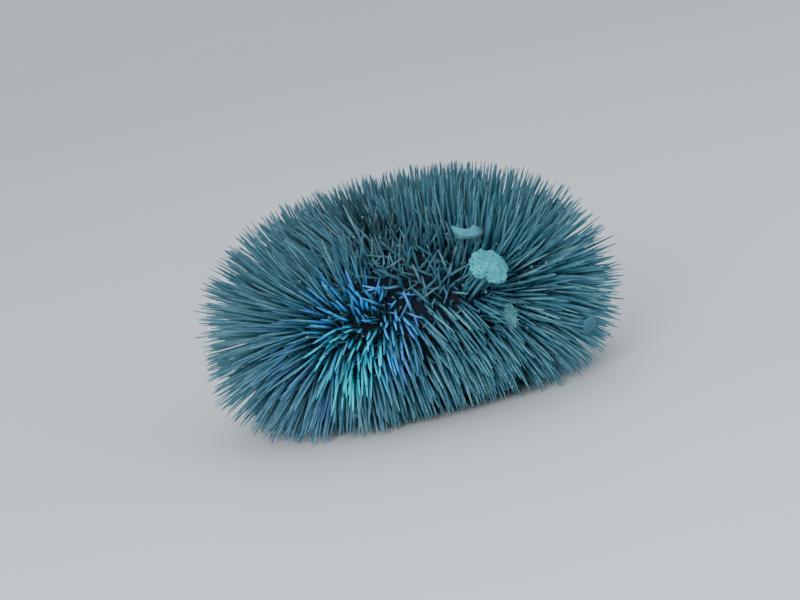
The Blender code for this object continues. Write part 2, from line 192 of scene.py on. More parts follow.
class SeaEggSizes(bpy.types.PropertyGroup):
    """Sizes of the animal and of what grows on it."""

    test_radius: FloatProperty(
        name="Test radius", description="Half the width of the test without spines", default=0.053,
        unit="LENGTH",
    )
    test_height: FloatProperty(
        name="Test height", description="Height of the test without spines", default=0.0525, unit="LENGTH"
    )
    underside: FloatProperty(
        name="Underside", description="Height of the lowest part of the test over the floor", default=0.0058,
        unit="LENGTH",
    )
    ambitus_share: FloatProperty(
        name="Ambitus", description="Height of the widest part as a share of the test's height", default=0.47
    )
    round_above: FloatProperty(name="Round above", description="Power of the upper outline", default=2.12)
    round_below: FloatProperty(name="Round below", description="Power of the lower outline", default=2.6)
    apical_radius: FloatProperty(
        name="Apical disc", description="Radius of the disc of plates on top", default=0.0075, unit="LENGTH"
    )
    mouth_radius: FloatProperty(
        name="Mouth skin", description="Radius of the skin around the mouth", default=0.0125, unit="LENGTH"
    )
    spine_length: FloatProperty(
        name="Spine length", description="Length of the longest spines", default=0.0203, unit="LENGTH"
    )
    spine_radius: FloatProperty(
        name="Spine radius", description="Radius of a long spine where it is fullest", default=0.00043,
        unit="LENGTH",
    )
    spine_spacing: FloatProperty(
        name="Spine spacing", description="Distance between the roots of long spines", default=0.0023,
        unit="LENGTH",
    )
    bare_between_plates: FloatProperty(
        name="Bare line, wide rays", description="Half width of the bare line down each interambulacrum",
        default=0.0013, unit="LENGTH",
    )
    bare_between_feet: FloatProperty(
        name="Bare line, narrow rays", description="Half width of the bare line down each ambulacrum",
        default=0.0016, unit="LENGTH",
    )
    parting: FloatProperty(
        name="Parting", description="How far spines lean away from a bare line beside them", default=0.06
    )
    short_spines: IntProperty(
        name="Short spines", description="How many short spines are tried", default=3300
    )
    loose_spines: IntProperty(
        name="Loose spines", description="How many spines lie at odd angles in the worn patches", default=135
    )
    tube_feet: IntProperty(name="Tube feet", description="How many tube feet grow", default=300)
    pincers: IntProperty(name="Pincers", description="How many pincers grow", default=500)


class SeaEggColours(bpy.types.PropertyGroup):
    """Colours of the finishes."""

    spine: FloatVectorProperty(
        name="Spine", description="Middle of a long spine", subtype="COLOR", default=(0.050, 0.165, 0.226)
    )
    spine_pale: FloatVectorProperty(
        name="Pale spine", description="The palest spines", subtype="COLOR", default=(0.124, 0.290, 0.332)
    )
    # Painted shade: the colour a long spine darkens to at its root, down among the crowded spines
    spine_root_shade: FloatVectorProperty(
        name="Spine root", description="Root of a long spine", subtype="COLOR", default=(0.019, 0.080, 0.122)
    )
    test: FloatVectorProperty(
        name="Test", description="Skin over the test", subtype="COLOR", default=(0.0015, 0.0060, 0.0110)
    )
    test_warm: FloatVectorProperty(
        name="Test, warm", description="Warmer flecks of the test", subtype="COLOR",
        default=(0.020, 0.012, 0.022),
    )
    # Painted light: violet, blue and cyan light painted on the spines left of the front
    painted_violet_light: FloatVectorProperty(
        name="Violet sheen", description="Violet end of the blue cast", subtype="COLOR",
        default=(0.100, 0.210, 1.000),
    )
    painted_blue_light: FloatVectorProperty(
        name="Blue sheen", description="Blue cast on the spines left of the front", subtype="COLOR",
        default=(0.040, 0.460, 1.000),
    )
    painted_cyan_light: FloatVectorProperty(
        name="Cyan sheen", description="Cyan cast below the blue one", subtype="COLOR",
        default=(0.000, 0.740, 0.810),
    )
    foot: FloatVectorProperty(
        name="Tube foot", description="Tube feet and pincers", subtype="COLOR", default=(0.060, 0.120, 0.150)
    )
    membrane: FloatVectorProperty(
        name="Mouth skin", description="Skin around the mouth", subtype="COLOR", default=(0.10, 0.060, 0.060)
    )
    tooth: FloatVectorProperty(
        name="Tooth", description="Teeth", subtype="COLOR", default=(0.72, 0.72, 0.66)
    )
    coral: FloatVectorProperty(
        name="Coral chip", description="Scrap of coral", subtype="COLOR", default=(0.032, 0.205, 0.240)
    )
    shell: FloatVectorProperty(
        name="Shell flake", description="Scrap of shell", subtype="COLOR", default=(0.021, 0.140, 0.178)
    )
    weed: FloatVectorProperty(
        name="Weed flake", description="Scrap of weed", subtype="COLOR", default=(0.058, 0.170, 0.188)
    )
    smooth_chip: FloatVectorProperty(
        name="Smooth chip", description="Smooth worn chip", subtype="COLOR", default=(0.022, 0.088, 0.118)
    )
    floor: FloatVectorProperty(
        name="Floor", description="Studio floor", subtype="COLOR", default=(0.560, 0.575, 0.590)
    )


def unit(vectors):
    """Vectors brought to a length of one."""
    return vectors / np.linalg.norm(vectors, axis=-1, keepdims=True)


def smooth_step(value, low, high):
    """From 0 at or below the low value to 1 at or above the high one, with soft ends."""
    share = np.clip((value - low) / (high - low), 0, 1)
    return share * share * (3 - 2 * share)


def ring_of(turn, *rest):
    """Cosine and sine of each turn, with any other coordinates after them."""
    return np.stack([np.cos(turn), np.sin(turn), *rest], axis=-1)


def corners(box):
    """Lower and upper corner of a box, as arrays."""
    return [np.array(corner) for corner in box]


def turns_of(sides):
    """Turns of the points of a ring, from the front."""
    return np.arange(sides) * math.tau / sides + FRONT


def flat_map(reach, turn):
    """Places on a flat map, by their distance from its middle and their turn round it."""
    return np.stack([0.5 + reach * np.cos(turn), 0.5 + reach * np.sin(turn)], axis=-1)


class Test:
    """The outline of the test and places on it, as arrays."""

    def __init__(self, sizes):
        self.sizes = sizes
        low, high = corners(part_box("peristome"))
        self.axis = (low + high)[:2] / 2
        self.angles = np.linspace(0, math.pi, TABLE_STEPS)
        radius, height = self.section(self.angles)
        self.arcs = np.concatenate(([0], np.cumsum(np.hypot(np.diff(radius), np.diff(height)))))

    def section(self, angle):
        """Radius and height of the outline, from 0 at the top to pi underneath."""
        sizes = self.sizes
        sine = np.abs(np.sin(angle))
        cosine = np.cos(angle)
        power = np.where(cosine >= 0, 2 / sizes.round_above, 2 / sizes.round_below)
        rise = np.where(cosine >= 0, 1 - sizes.ambitus_share, -sizes.ambitus_share) * sizes.test_height
        middle = sizes.underside + sizes.ambitus_share * sizes.test_height
        return sizes.test_radius * sine ** power, middle + rise * np.abs(cosine) ** power

    def outward(self, angle):
        """Normal of the outline, as radius and height."""
        step = 0.002
        before = self.section(np.clip(angle - step, step / 2, math.pi))
        after = self.section(np.clip(angle + step, 0, math.pi - step / 2))
        out = -(after[1] - before[1])
        rise = after[0] - before[0]
        size = np.hypot(out, rise)
        return out / size, rise / size

    def in_space(self, radius, height, around):
        """Radius, height and turn as x, y and z."""
        around = np.asarray(around)
        return np.stack([radius * np.cos(around), radius * np.sin(around), height + 0 * around], axis=-1)

    def points(self, angle, around, lift=0.0):
        """Points on the test, or lifted off it along its normal."""
        radius, height = self.section(angle)
        out, rise = self.outward(angle)
        place = self.in_space(radius + out * lift, height + rise * lift, around)
        place[..., :2] += self.axis
        return place

    def place(self, down, turn, lift=0.0):
        """Point at degrees down from the top of the test and degrees round from its front."""
        return self.points(np.radians(down), FRONT + math.radians(turn), lift)

    def normals(self, angle, around):
        """Outward normals of the test, of length one."""
        return self.in_space(*self.outward(angle), around)

    def arc_at(self, angle):
        """Length of the outline from the top down to an angle."""
        return np.interp(angle, self.angles, self.arcs)

    def angle_at(self, arc):
        """Angle at a length of the outline from the top."""
        return np.interp(arc, self.arcs, self.angles)

    def angle_at_radius(self, radius, above):
        """Angle where the test has a radius, above its widest part or below it."""
        half = self.angles < math.pi / 2 if above else self.angles > math.pi / 2
        angles = self.angles[half]
        wide = self.section(angles)[0]
        order = np.argsort(wide)
        return float(np.interp(radius, wide[order], angles[order]))

    def unwrap(self, angle, around):
        """Place on a flat map of the test, with the top in the middle and the mouth at the rim."""
        return flat_map(TEST_REACH * self.arc_at(angle) / self.arcs[-1], around)


def across_axes(aims):
    """Two unit directions across each aim."""
    helper = np.where(np.abs(aims[:, 2:3]) < 0.9, [[0.0, 0.0, 1.0]], [[1.0, 0.0, 0.0]])
    side = unit(np.cross(helper, aims))
    return side, np.cross(aims, side)


def drift(points, amount, seed, shortest=0.016, longest=0.045):
    """A smooth wander of direction over the body, the same for near neighbours."""
    waves = 10
    draw = np.random.default_rng(seed)
    total = np.zeros_like(points)
    for wave in draw.uniform(shortest, longest, waves):
        heading = unit(draw.normal(0, 1, (1, 3)))
        swing = unit(draw.normal(0, 1, (1, 3)))
        phase = (points @ heading.T) * math.tau / wave + draw.uniform(0, math.tau)
        total += np.sin(phase) * swing
    return total * amount / math.sqrt(waves)


def mesh_object(name, points, loops, sizes, maps, colours=None):
    """A smooth mesh from arrays: points, corner indices, face sizes, UV maps and point colours."""
    mesh = bpy.data.meshes.new(name)
    mesh.vertices.add(len(points))
    mesh.vertices.foreach_set("co", np.asarray(points, dtype=np.float32).ravel())
    mesh.loops.add(len(loops))
    mesh.loops.foreach_set("vertex_index", np.asarray(loops, dtype=np.int32))
    mesh.polygons.add(len(sizes))
    starts = np.concatenate(([0], np.cumsum(sizes)[:-1]))
    mesh.polygons.foreach_set("loop_start", starts.astype(np.int32))
    mesh.update(calc_edges=True)
    mesh.polygons.foreach_set("use_smooth", np.ones(len(sizes), dtype=bool))
    for label, values in maps.items():
        layer = mesh.uv_layers.new(name=label)
        layer.data.foreach_set("uv", np.asarray(values, dtype=np.float32).ravel())
    for label, values in (colours or {}).items():
        layer = mesh.color_attributes.new(label, "FLOAT_COLOR", "POINT")
        layer.data.foreach_set("color", np.asarray(values, dtype=np.float32).ravel())
    mesh.validate()
    obj = bpy.data.objects.new(name, mesh)
    bpy.context.scene.collection.objects.link(obj)
    return obj


def spindle_pattern(rings, sides):
    """Corners and face sizes of one closed spindle, and where each corner lies round and along it."""
    loops = []
    sizes = []
    places = []
    for ring in range(rings - 1):
        for side in range(sides):
            here = ring * sides + side
            beside = ring * sides + (side + 1) % sides
            loops += [here, beside, beside + sides, here + sides]
            sizes.append(4)
            places += [(side, ring + 1), (side + 1, ring + 1), (side + 1, ring + 2), (side, ring + 2)]
    base = rings * sides
    tip = base + 1
    last = (rings - 1) * sides
    for side in range(sides):
        beside = (side + 1) % sides
        loops += [last + side, last + beside, tip, beside, side, base]
        sizes += [3, 3]
        places += [(side, rings), (side + 1, rings), (side + 0.5, rings + 1)]
        places += [(side + 1, 1), (side, 1), (side + 0.5, 0)]
    return np.array(loops), np.array(sizes), np.array(places, dtype=float)


def spindles(name, feet, aims, lengths, radii, profile, sides, bows, tones, roots, casts=None):
    """Many closed spindles in one mesh, each turned about its own line from the same profile.

    Every spindle has its own bow, tone, cast of light and place of its root on the flat map.
    """
    along = np.array([share for share, _ in profile])
    wide = np.array([share for _, share in profile])
    side_axis, over_axis = across_axes(aims)
    bend = np.clip(along, 0, None) ** 2
    line = feet[:, None] + aims[:, None] * (lengths[:, None] * along)[..., None]
    line = line + bows[:, None] * bend[None, :, None]
    turn = np.arange(sides) * math.tau / sides
    spokes = np.cos(turn)[:, None] * side_axis[:, None] + np.sin(turn)[:, None] * over_axis[:, None]
    rims = line[:, 1:-1, None] + spokes[:, None] * (radii[:, None] * wide[1:-1])[..., None, None]
    count, rings = rims.shape[:2]
    points = np.concatenate([rims.reshape(count, -1, 3), line[:, :1], line[:, -1:]], axis=1)
    loops, sizes, places = spindle_pattern(rings, sides)
    every = (loops[None] + (np.arange(count) * points.shape[1])[:, None]).ravel()
    spine_map = np.stack([places[:, 0] / sides, np.clip(along, 0, 1)[places[:, 1].astype(int)]], axis=-1)
    patches = roots[:, None] + (spine_map[None] - 0.5) * PATCH
    maps = {"Spine": np.tile(spine_map, (count, 1)), "OFBake": patches.reshape(-1, 2)}
    colours = {"tone": np.repeat(tones, points.shape[1], axis=0)}
    if casts is not None:
        colours["cast"] = np.repeat(casts, points.shape[1], axis=0)
    return mesh_object(name, points.reshape(-1, 3), every, np.tile(sizes, count), maps, colours)


def rows_of_roots(test, draw):
    """Roots in rings down the test, in a band on each side of every bare line."""
    disc_room = 0.0012
    mouth_room = 0.0022
    row_share = 0.87
    widest_plates = 0.07
    widest_feet = 0.06
    sway_across = 0.0004
    sway_down = 0.0005
    sizes = test.sizes
    spacing = sizes.spine_spacing
    first = test.arc_at(test.angle_at_radius(sizes.apical_radius + disc_room, True))
    last = test.arc_at(test.angle_at_radius(sizes.mouth_radius + mouth_room, False))
    rows = round((last - first) / (spacing * row_share))
    down = []
    around = []
    for row in range(rows + 1):
        arc = first + (last - first) * row / rows
        radius = float(test.section(test.angle_at(arc))[0])
        plates = min(sizes.bare_between_plates, radius * widest_plates) / radius
        feet = min(sizes.bare_between_feet, radius * widest_feet) / radius
        width = RAY_TURN / 2 - plates - feet
        columns = max(1, round(width * radius / spacing))
        shares = (np.arange(columns + 1 - row % 2) + (row % 2) / 2) / columns
        for ray in range(RAYS):
            for side in (-1, 1):
                off = plates + width * shares + draw.normal(0, sway_across, len(shares)) / radius
                around.append(FRONT + RAY_TURN * ray + side * off)
                down.append(test.angle_at(arc + draw.normal(0, sway_down, len(shares))))
    return np.concatenate(down), np.concatenate(around)


def scattered_roots(test, count, draw):
    """Roots spread evenly by chance over the test, clear of the disc and the mouth."""
    mouth_room = 0.0008
    sizes = test.sizes
    first = test.angle_at_radius(sizes.apical_radius, True)
    last = test.angle_at_radius(sizes.mouth_radius + mouth_room, False)
    angles = np.linspace(first, last, TABLE_STEPS)
    weight = np.concatenate(([0], np.cumsum(test.section(angles[1:])[0] * np.diff(test.arc_at(angles)))))
    down = np.interp(draw.uniform(0, weight[-1], count), weight, angles)
    return down, draw.uniform(0, math.tau, count)


def turn_in_ray(around):
    """Turn from the middle of the nearest wide ray."""
    return (around - FRONT + RAY_TURN / 2) % RAY_TURN - RAY_TURN / 2


def shorter_below(down, least):
    """Share of the length that is left, full down to the lower side and least at the mouth."""
    return np.interp(np.degrees(down), (0, 120, 180), (1, 1, least))


def off_the_lines(test, down, around):
    """Distances from the nearest bare line of a wide ray and of a narrow one."""
    radius = test.section(down)[0]
    turn = np.abs(turn_in_ray(around))
    return turn * radius, (RAY_TURN / 2 - turn) * radius


def parted(test, down, around):
    """Lean of each spine away from the bare line nearest to it, least at the back."""
    wide_reach = 0.0062
    narrow_reach = 0.0056
    narrow_share = 0.75
    wide, narrow = off_the_lines(test, down, around)
    ahead = smooth_step(np.cos(around - FRONT), -1.0, 0.2)
    lean = np.exp(-(wide / wide_reach) ** 2) - narrow_share * np.exp(-(narrow / narrow_reach) ** 2)
    sideways = np.stack([-np.sin(around), np.cos(around), 0 * around], axis=-1)
    return sideways * (np.sign(turn_in_ray(around)) * lean * ahead * test.sizes.parting)[:, None]


def nearness(test, feet, down, turn, full, end):
    """From 1 for roots within the full radius of a place on the test to 0 past the end radius."""
    away = np.linalg.norm(feet - test.place(down, turn), axis=1)
    return 1 - smooth_step(away, full, end)


def combed(test, feet):
    """Lean of the spines where they are combed aside."""
    lean = np.zeros_like(feet)
    for *place, aside in COMBED:
        lean += nearness(test, feet, *place)[:, None] * np.array(aside)
    return lean


def length_factors(test, feet):
    """What the length is multiplied by where the spines are shorter or longer."""
    factors = np.ones(len(feet))
    for *place, added in LENGTH_CHANGES:
        factors *= 1 + added * nearness(test, feet, *place)
    return factors


def swayed(aims, amount, draw):
    """Aims turned by chance, by one amount for all or by one for each."""
    return unit(aims + draw.normal(0, 1, aims.shape) * np.asarray(amount).reshape(-1, 1))


def bowed(aims, lengths, share, draw):
    """Bows across the aims, by a share of the lengths, in directions by chance."""
    return np.cross(aims, unit(draw.normal(0, 1, aims.shape))) * (lengths * share)[:, None]


def splayed(feet, aims, lengths, clear=0.0004):
    """Aims turned outwards where a spine would otherwise pass the floor."""
    steepest = -0.99
    weakest = 0.2
    goal = clear - feet[:, 2]
    low = aims[:, 2] * lengths < goal
    down = np.clip(goal / lengths, steepest, 0)
    flat = aims.copy()
    flat[:, 2] = 0
    weak = np.linalg.norm(flat, axis=1) < weakest
    flat[weak] = feet[weak] * (1, 1, 0)
    flat = unit(flat) * np.sqrt(1 - down ** 2)[:, None]
    flat[:, 2] = down
    return np.where(low[:, None], flat, aims)


def off_the_floor(feet, aims, lengths, bows, clear):
    """Bows changed so that every tip keeps clear of the floor."""
    tips = (feet + aims * lengths[:, None])[:, 2]
    bows[:, 2] = np.maximum(bows[:, 2], clear - tips)
    return bows


def debris_places():
    """Centre, axes and half sizes of each scrap, from its box and its place round the test."""
    test = Test(bpy.context.scene.sea_egg_sizes)
    places = {}
    for name, (down, turn, *size) in SCRAPS.items():
        low, high = (Vector(corner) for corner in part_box(name))
        around = FRONT + math.radians(turn)
        out = Vector(test.normals(np.array(math.radians(down)), np.array(around)))
        axes = out.to_track_quat("Z", "Y").to_matrix()
        places[name] = (np.array((low + high) / 2), np.array(axes), np.array(Vector(size) / 2))
    return places


def trimmed(feet, aims, lengths, longest=0.0):
    """Lengths cut or drawn out to end just under the scraps, and cut to leave them clear in front."""
    # Share of the height over a scrap that counts, so that the room in front of it has an end
    height_share = 0.15
    room = 0.0004
    steps = np.linspace(0.3, 1.0, 60)
    for centre, axes, half in debris_places().values():
        most = np.maximum(lengths, longest)
        reach = feet[:, None] + aims[:, None] * (most[:, None] * steps)[..., None]
        inside = (reach - centre) @ axes
        above = np.clip(inside[..., 2:], 0, None)
        clear = np.array((0.0, -1.0, 0.0)) @ axes + (0.0, 0.0, 1.0)
        inside -= above * (clear / clear[2] - (0.0, 0.0, height_share))
        met = ((inside / (half + room)) ** 4).sum(axis=-1) < 1
        first = steps[np.maximum(met.argmax(axis=1) - 1, 0)] * most
        lengths = np.where(met.any(axis=1), first, lengths)
    return lengths


def held(feet, aims, lengths, bows):
    """Aims and lengths of the spines whose tips hold a scrap from below, and which spines they are."""
    # Roots this near below the middle of a scrap, as a share of its half size and as a depth
    under_share = 0.52
    under_depth = 0.03
    # The tips close up towards the middle of the scrap, and end a little inside its underside
    gathered = (0.9, 0.75, 0.0)
    sunk = (0.0, 0.2, 0.25)
    holding = np.zeros(len(feet), dtype=bool)
    for centre, axes, half in debris_places().values():
        flat = (feet - centre) @ axes
        under = (np.abs(flat) < (*(under_share * half[:2]), under_depth)).all(axis=1)
        goal = flat * gathered - half * sunk
        line = goal @ axes.T + centre - bows - feet
        size = np.linalg.norm(line, axis=1)
        aims = np.where(under[:, None], line / size[:, None], aims)
        lengths = np.where(under, size, lengths)
        holding |= under
    return aims, lengths, holding


def inside_box(feet, aims, lengths, bows):
    """Lengths of spines whose tips stay inside the box of the solids."""
    # More is cut than stands out, because most spines lean
    pull = 1.3
    low, high = corners(CAD_BOX)
    tips = feet + aims * lengths[:, None] + bows
    over = np.maximum(np.maximum(tips - high, low - tips), 0).max(axis=1)
    return lengths - over * pull


def tones_for(count, draw, spread=0.16):
    """A random brightness, warmth and paleness for each spine."""
    tones = np.ones((count, 4))
    tones[:, 0] = np.clip(draw.normal(1.0, spread, count), 0.55, 1.4)
    tones[:, 1] = draw.uniform(0, 1, count)
    tones[:, 2] = draw.uniform(0, 1, count)
    return tones


def shaded(test, tones, feet, wear):
    """Tones darkened with painted shade over the top, in the gap left of the disc and in the worn patches;
    warmer on the left, partly as own colour and partly as painted light.
    """
    plain = 0.95
    # Shares of painted shade over the top, in the worn patches and in the gap left of the disc
    top_shade_share = 0.32
    worn_share = 0.34
    gap_shade_share = 0.62
    paleness = 0.86
    ways = unit(feet - feet.mean(axis=0))
    dark = smooth_step(ways @ unit(np.array([-0.04, 0.27, 0.90])), -0.3, 0.85)
    deep = nearness(test, feet, *GAP_SHADE)
    tones[:, 0] *= (plain - top_shade_share * dark) * (1 - worn_share * wear) * (1 - gap_shade_share * deep)
    # Warmer on the left: partly the spines' own colour, partly painted light from that side
    tones[:, 1] *= smooth_step(-ways[:, 0], -0.4, 0.9)
    tones[:, 2] *= paleness
    return tones


def worn(test, down, around):
    """How far a root lies inside a worn, untidy patch, from 0 to 1."""
    wear = np.zeros(len(down))
    for patch_down, patch_turn, half_width, half_height in WORN_PATCHES:
        away = test.points(down, around) - test.place(patch_down, patch_turn)
        upward = np.hypot(away[:, 1], away[:, 2])
        reach = np.hypot(away[:, 0] / half_width, upward / half_height)
        wear = np.maximum(wear, 1 - smooth_step(reach, 0.6, 1.02))
    return wear


def casts_for(test, feet, aims, lengths, draw):
    """How much painted blue and cyan light each spine carries, with a random turn, and how violet it is."""
    # Share of the length of a spine where its light is measured
    lit_share = 0.6
    # Spines next to each other catch little, some or all of the light
    strengths = (0.08, 0.55, 1.0)
    chances = (0.20, 0.22, 0.58)
    violet_sway = 0.003
    violet_from = 0.010
    violet_to = 0.027
    faintest = 0.03
    faint_spread = 0.19
    count = len(feet)
    middle = feet + aims * lengths[:, None] * lit_share
    casts = np.ones((count, 4))
    for channel, (down, turn, lift, full, end) in enumerate(LIGHT_SPOTS):
        away = np.linalg.norm(middle - test.place(down, turn, lift), axis=1)
        near = 1 - smooth_step(away, full, end)
        casts[:, channel] = near * draw.choice(strengths, count, p=chances)
        if channel == 0:
            swayed_away = away + draw.normal(0, violet_sway, count)
            casts[:, 3] = smooth_step(swayed_away, violet_from, violet_to)
    casts[:, 2] = draw.uniform(0, 1, count)
    faint = nearness(test, feet, *FAINT_LIGHT) * (faintest + faint_spread * casts[:, 2])
    casts[:, 0] = np.maximum(casts[:, 0], faint)
    return casts


def toned(colour, factor):
    """A colour made darker or paler."""
    return tuple(min(1.0, channel * factor) for channel in colour)


def start_material(name, roughness, gloss=0.5):
    """A new material, its nodes, its shader and the place on the object that its patterns follow."""
    material = bpy.data.materials.new(name)
    material.use_nodes = True
    tree = material.node_tree
    shader = tree.nodes["Principled BSDF"]
    shader.inputs["Roughness"].default_value = roughness
    shader.inputs["Specular IOR Level"].default_value = gloss
    return material, tree, shader, tree.nodes.new("ShaderNodeTexCoord").outputs["Object"]


def feed(tree, sockets, values):
    """Link each socket to a value that is a socket too, or set it to a value that is a number."""
    for socket, value in zip(sockets, values):
        if isinstance(value, bpy.types.NodeSocket):
            tree.links.new(value, socket)
        else:
            socket.default_value = value


def node(tree, kind, **inputs):
    """A new node, with its settings set and its sockets fed."""
    made = tree.nodes.new(kind)
    for key, value in inputs.items():
        if hasattr(made, key):
            setattr(made, key, value)
        else:
            feed(tree, [made.inputs[key.replace("_", " ")]], [value])
    return made


def maths(tree, operation, *values):
    """The result of a sum on sockets and numbers."""
    made = node(tree, "ShaderNodeMath", operation=operation)
    feed(tree, made.inputs, values)
    return made.outputs[0]


def mixed(tree, share, one, other, blend="MIX"):
    """A mix of two colours, each of them a socket or a plain colour."""
    made = node(tree, "ShaderNodeMix", data_type="RGBA", blend_type=blend)
    shown = [value if isinstance(value, bpy.types.NodeSocket) else (*value, 1.0) for value in (one, other)]
    feed(tree, [made.inputs[index] for index in (0, 6, 7)], [share, *shown])
    return made.outputs[2]


def ranged(tree, value, low, high, to_low=0.0, to_high=1.0):
    """A value brought from one range to another, with soft ends."""
    made = node(tree, "ShaderNodeMapRange", interpolation_type="SMOOTHSTEP")
    feed(tree, made.inputs, (value, low, high, to_low, to_high))
    return made.outputs[0]


def noise(tree, where, scale, detail=3.0, rough=0.55):
    """A soft random cloud."""
    made = node(tree, "ShaderNodeTexNoise", Vector=where, Scale=scale, Detail=detail, Roughness=rough)
    return made.outputs["Fac"]


def bump(tree, shader, height, distance, strength=1.0):
    """Relief on the surface, from a height."""
    made = node(tree, "ShaderNodeBump", Distance=distance, Strength=strength, Height=height)
    tree.links.new(made.outputs[0], shader.inputs["Normal"])


def point_colour(tree, name):
    """Red, green, blue and alpha of a colour that the points of the mesh carry."""
    carried = node(tree, "ShaderNodeAttribute", attribute_name=name)
    parts = node(tree, "ShaderNodeSeparateColor", Color=carried.outputs["Color"])
    return (*parts.outputs, carried.outputs["Alpha"])


def spine_material(colours):
    """Pale, finely ribbed lime, with painted shade darkening it towards the root and the painted blue and
    cyan light that a spine carries.
    """
    if "spine_lime" in bpy.data.materials:
        return bpy.data.materials["spine_lime"]
    warmest = (0.150, 0.230, 0.265)
    ribs_around = 13
    material, tree, shader, where = start_material("spine_lime", 0.6, 0.16)
    bright, warmth, paleness, _ = point_colour(tree, "tone")
    place = node(tree, "ShaderNodeUVMap", uv_map="Spine")
    along = node(tree, "ShaderNodeSeparateXYZ", Vector=place.outputs[0])
    body = mixed(tree, ranged(tree, paleness, 0.35, 1.0), colours.spine, colours.spine_pale)
    warm = mixed(tree, maths(tree, "MULTIPLY", warmth, 0.2), body, warmest)
    # Painted shade: each spine darkens towards its root, where the spines crowd and shade each other
    painted_root_shade = mixed(tree, ranged(tree, along.outputs["Y"], 0.02, 0.42), colours.spine_root_shade, warm)
    blotch = ranged(tree, noise(tree, where, 420.0), 0.3, 0.7, 0.80, 1.14)
    shade = maths(tree, "MULTIPLY", blotch, bright)
    grey = node(tree, "ShaderNodeCombineColor", Red=shade, Green=shade, Blue=shade).outputs[0]
    plain = mixed(tree, 1.0, painted_root_shade, grey, "MULTIPLY")
    tree.links.new(cast_over(tree, colours, plain, where, along), shader.inputs["Base Color"])
    ribs = maths(tree, "SINE", maths(tree, "MULTIPLY", along.outputs["X"], math.tau * ribs_around))
    fine = noise(tree, where, 2600.0, 2.0)
    bump(tree, shader, maths(tree, "ADD", maths(tree, "MULTIPLY", ribs, 0.5), fine), 0.00005, 0.7)
    return material


def cast_over(tree, colours, plain, where, along):
    """Painted blue to violet and cyan light, laid in streaks over the spines that carry it."""
    # The cast attribute holds the amounts of painted blue and cyan light, a random turn and the violet share
    blue_light, cyan_light, chance, violet = point_colour(tree, "cast")
    turn = maths(tree, "ADD", along.outputs["X"], chance)
    side = maths(tree, "SINE", maths(tree, "MULTIPLY", turn, math.tau))
    band = ranged(tree, side, -0.9, 0.0, 0.4, 1.0)
    patchy = ranged(tree, noise(tree, where, 230.0, 2.0), 0.30, 0.42)
    outer = ranged(tree, along.outputs["Y"], 0.12, 0.5)
    streaks = maths(tree, "MULTIPLY", maths(tree, "MULTIPLY", band, patchy), outer)
    blue = maths(tree, "MULTIPLY", blue_light, streaks)
    cyan = maths(tree, "MULTIPLY", cyan_light, streaks)
    violet_or_blue = mixed(tree, violet, colours.painted_blue_light, colours.painted_violet_light)
    tinted = mixed(tree, blue, plain, violet_or_blue)
    return mixed(tree, cyan, tinted, colours.painted_cyan_light)


def skin_material(colours):
    """Near black skin with brown and purple flecks and the joints of the plates."""
    joint_colour = (0.02, 0.04, 0.06)
    material, tree, shader, where = start_material("test_skin", 0.75, 0.08)
    flecks = ranged(tree, noise(tree, where, 260.0, 4.0), 0.45, 0.7)
    cloudy = ranged(tree, noise(tree, where, 60.0, 2.0), 0.4, 0.65)
    base = mixed(tree, maths(tree, "MULTIPLY", flecks, cloudy), colours.test, colours.test_warm)
    plates = node(tree, "ShaderNodeUVMap", uv_map="Plates")
    joints = node(
        tree, "ShaderNodeTexBrick", Vector=plates.outputs[0], Scale=1.0, Mortar_Size=0.035,
        Mortar_Smooth=1.0, Brick_Width=1.0, Row_Height=1.0,
    ).outputs["Fac"]
    joint_share = maths(tree, "MULTIPLY", joints, 0.12)
    tree.links.new(mixed(tree, joint_share, base, joint_colour), shader.inputs["Base Color"])
    bump(tree, shader, maths(tree, "SUBTRACT", noise(tree, where, 900.0, 4.0), joints), 0.00018, 0.8)
    return material


def small_material(name, colour, roughness, scale, contrast=0.4, relief=0.00005, gloss=0.2):
    """A finish with soft blotches and a fine grain."""
    material, tree, shader, where = start_material(name, roughness, gloss)
    dark = toned(colour, 1 - contrast)
    pale = toned(colour, 1 + contrast * 0.6)
    spread = ranged(tree, noise(tree, where, scale, 4.0), 0.34, 0.68)
    tree.links.new(mixed(tree, spread, dark, pale), shader.inputs["Base Color"])
    bump(tree, shader, noise(tree, where, scale * 4, 4.0), relief, 0.8)
    return material


def settle(piece, material, slot, *nodes):
    """Give a piece its finish and its body, and hide the nodes it stands for."""
    piece.data.materials.append(material)
    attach(piece, "root")
    if nodes:
        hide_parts(*nodes)
    return piece


def with_rings(before, grid, after):
    """A grid of rings, with rings of one value each added before it and after it."""
    sides = np.ones(grid.shape[1])
    return np.concatenate([np.outer(before, sides), grid, np.outer(after, sides)])


def turned_grid(test, around, radii, heights):
    """A closed turned surface from rings of points, with a point at its top and its bottom."""
    rings, sides = radii.shape
    x = radii * np.cos(around) + test.axis[0]
    y = radii * np.sin(around) + test.axis[1]
    grid = np.stack([x, y, heights], axis=-1).reshape(-1, 3)
    top = np.array([[*test.axis, heights[0].mean()]])
    bottom = np.array([[*test.axis, heights[-1].mean()]])
    loops, sizes, places = spindle_pattern(rings, sides)
    starts = np.cumsum(sizes)[:-1]
    flipped = np.concatenate([face[::-1] for face in np.split(loops, starts)])
    lie = np.concatenate([face[::-1] for face in np.split(places, starts)])
    return np.concatenate([grid, top, bottom]), flipped, sizes, lie


def test_and_colours(context):
    """The test with its sizes, and the colours."""
    return Test(context.scene.sea_egg_sizes), context.scene.sea_egg_colours


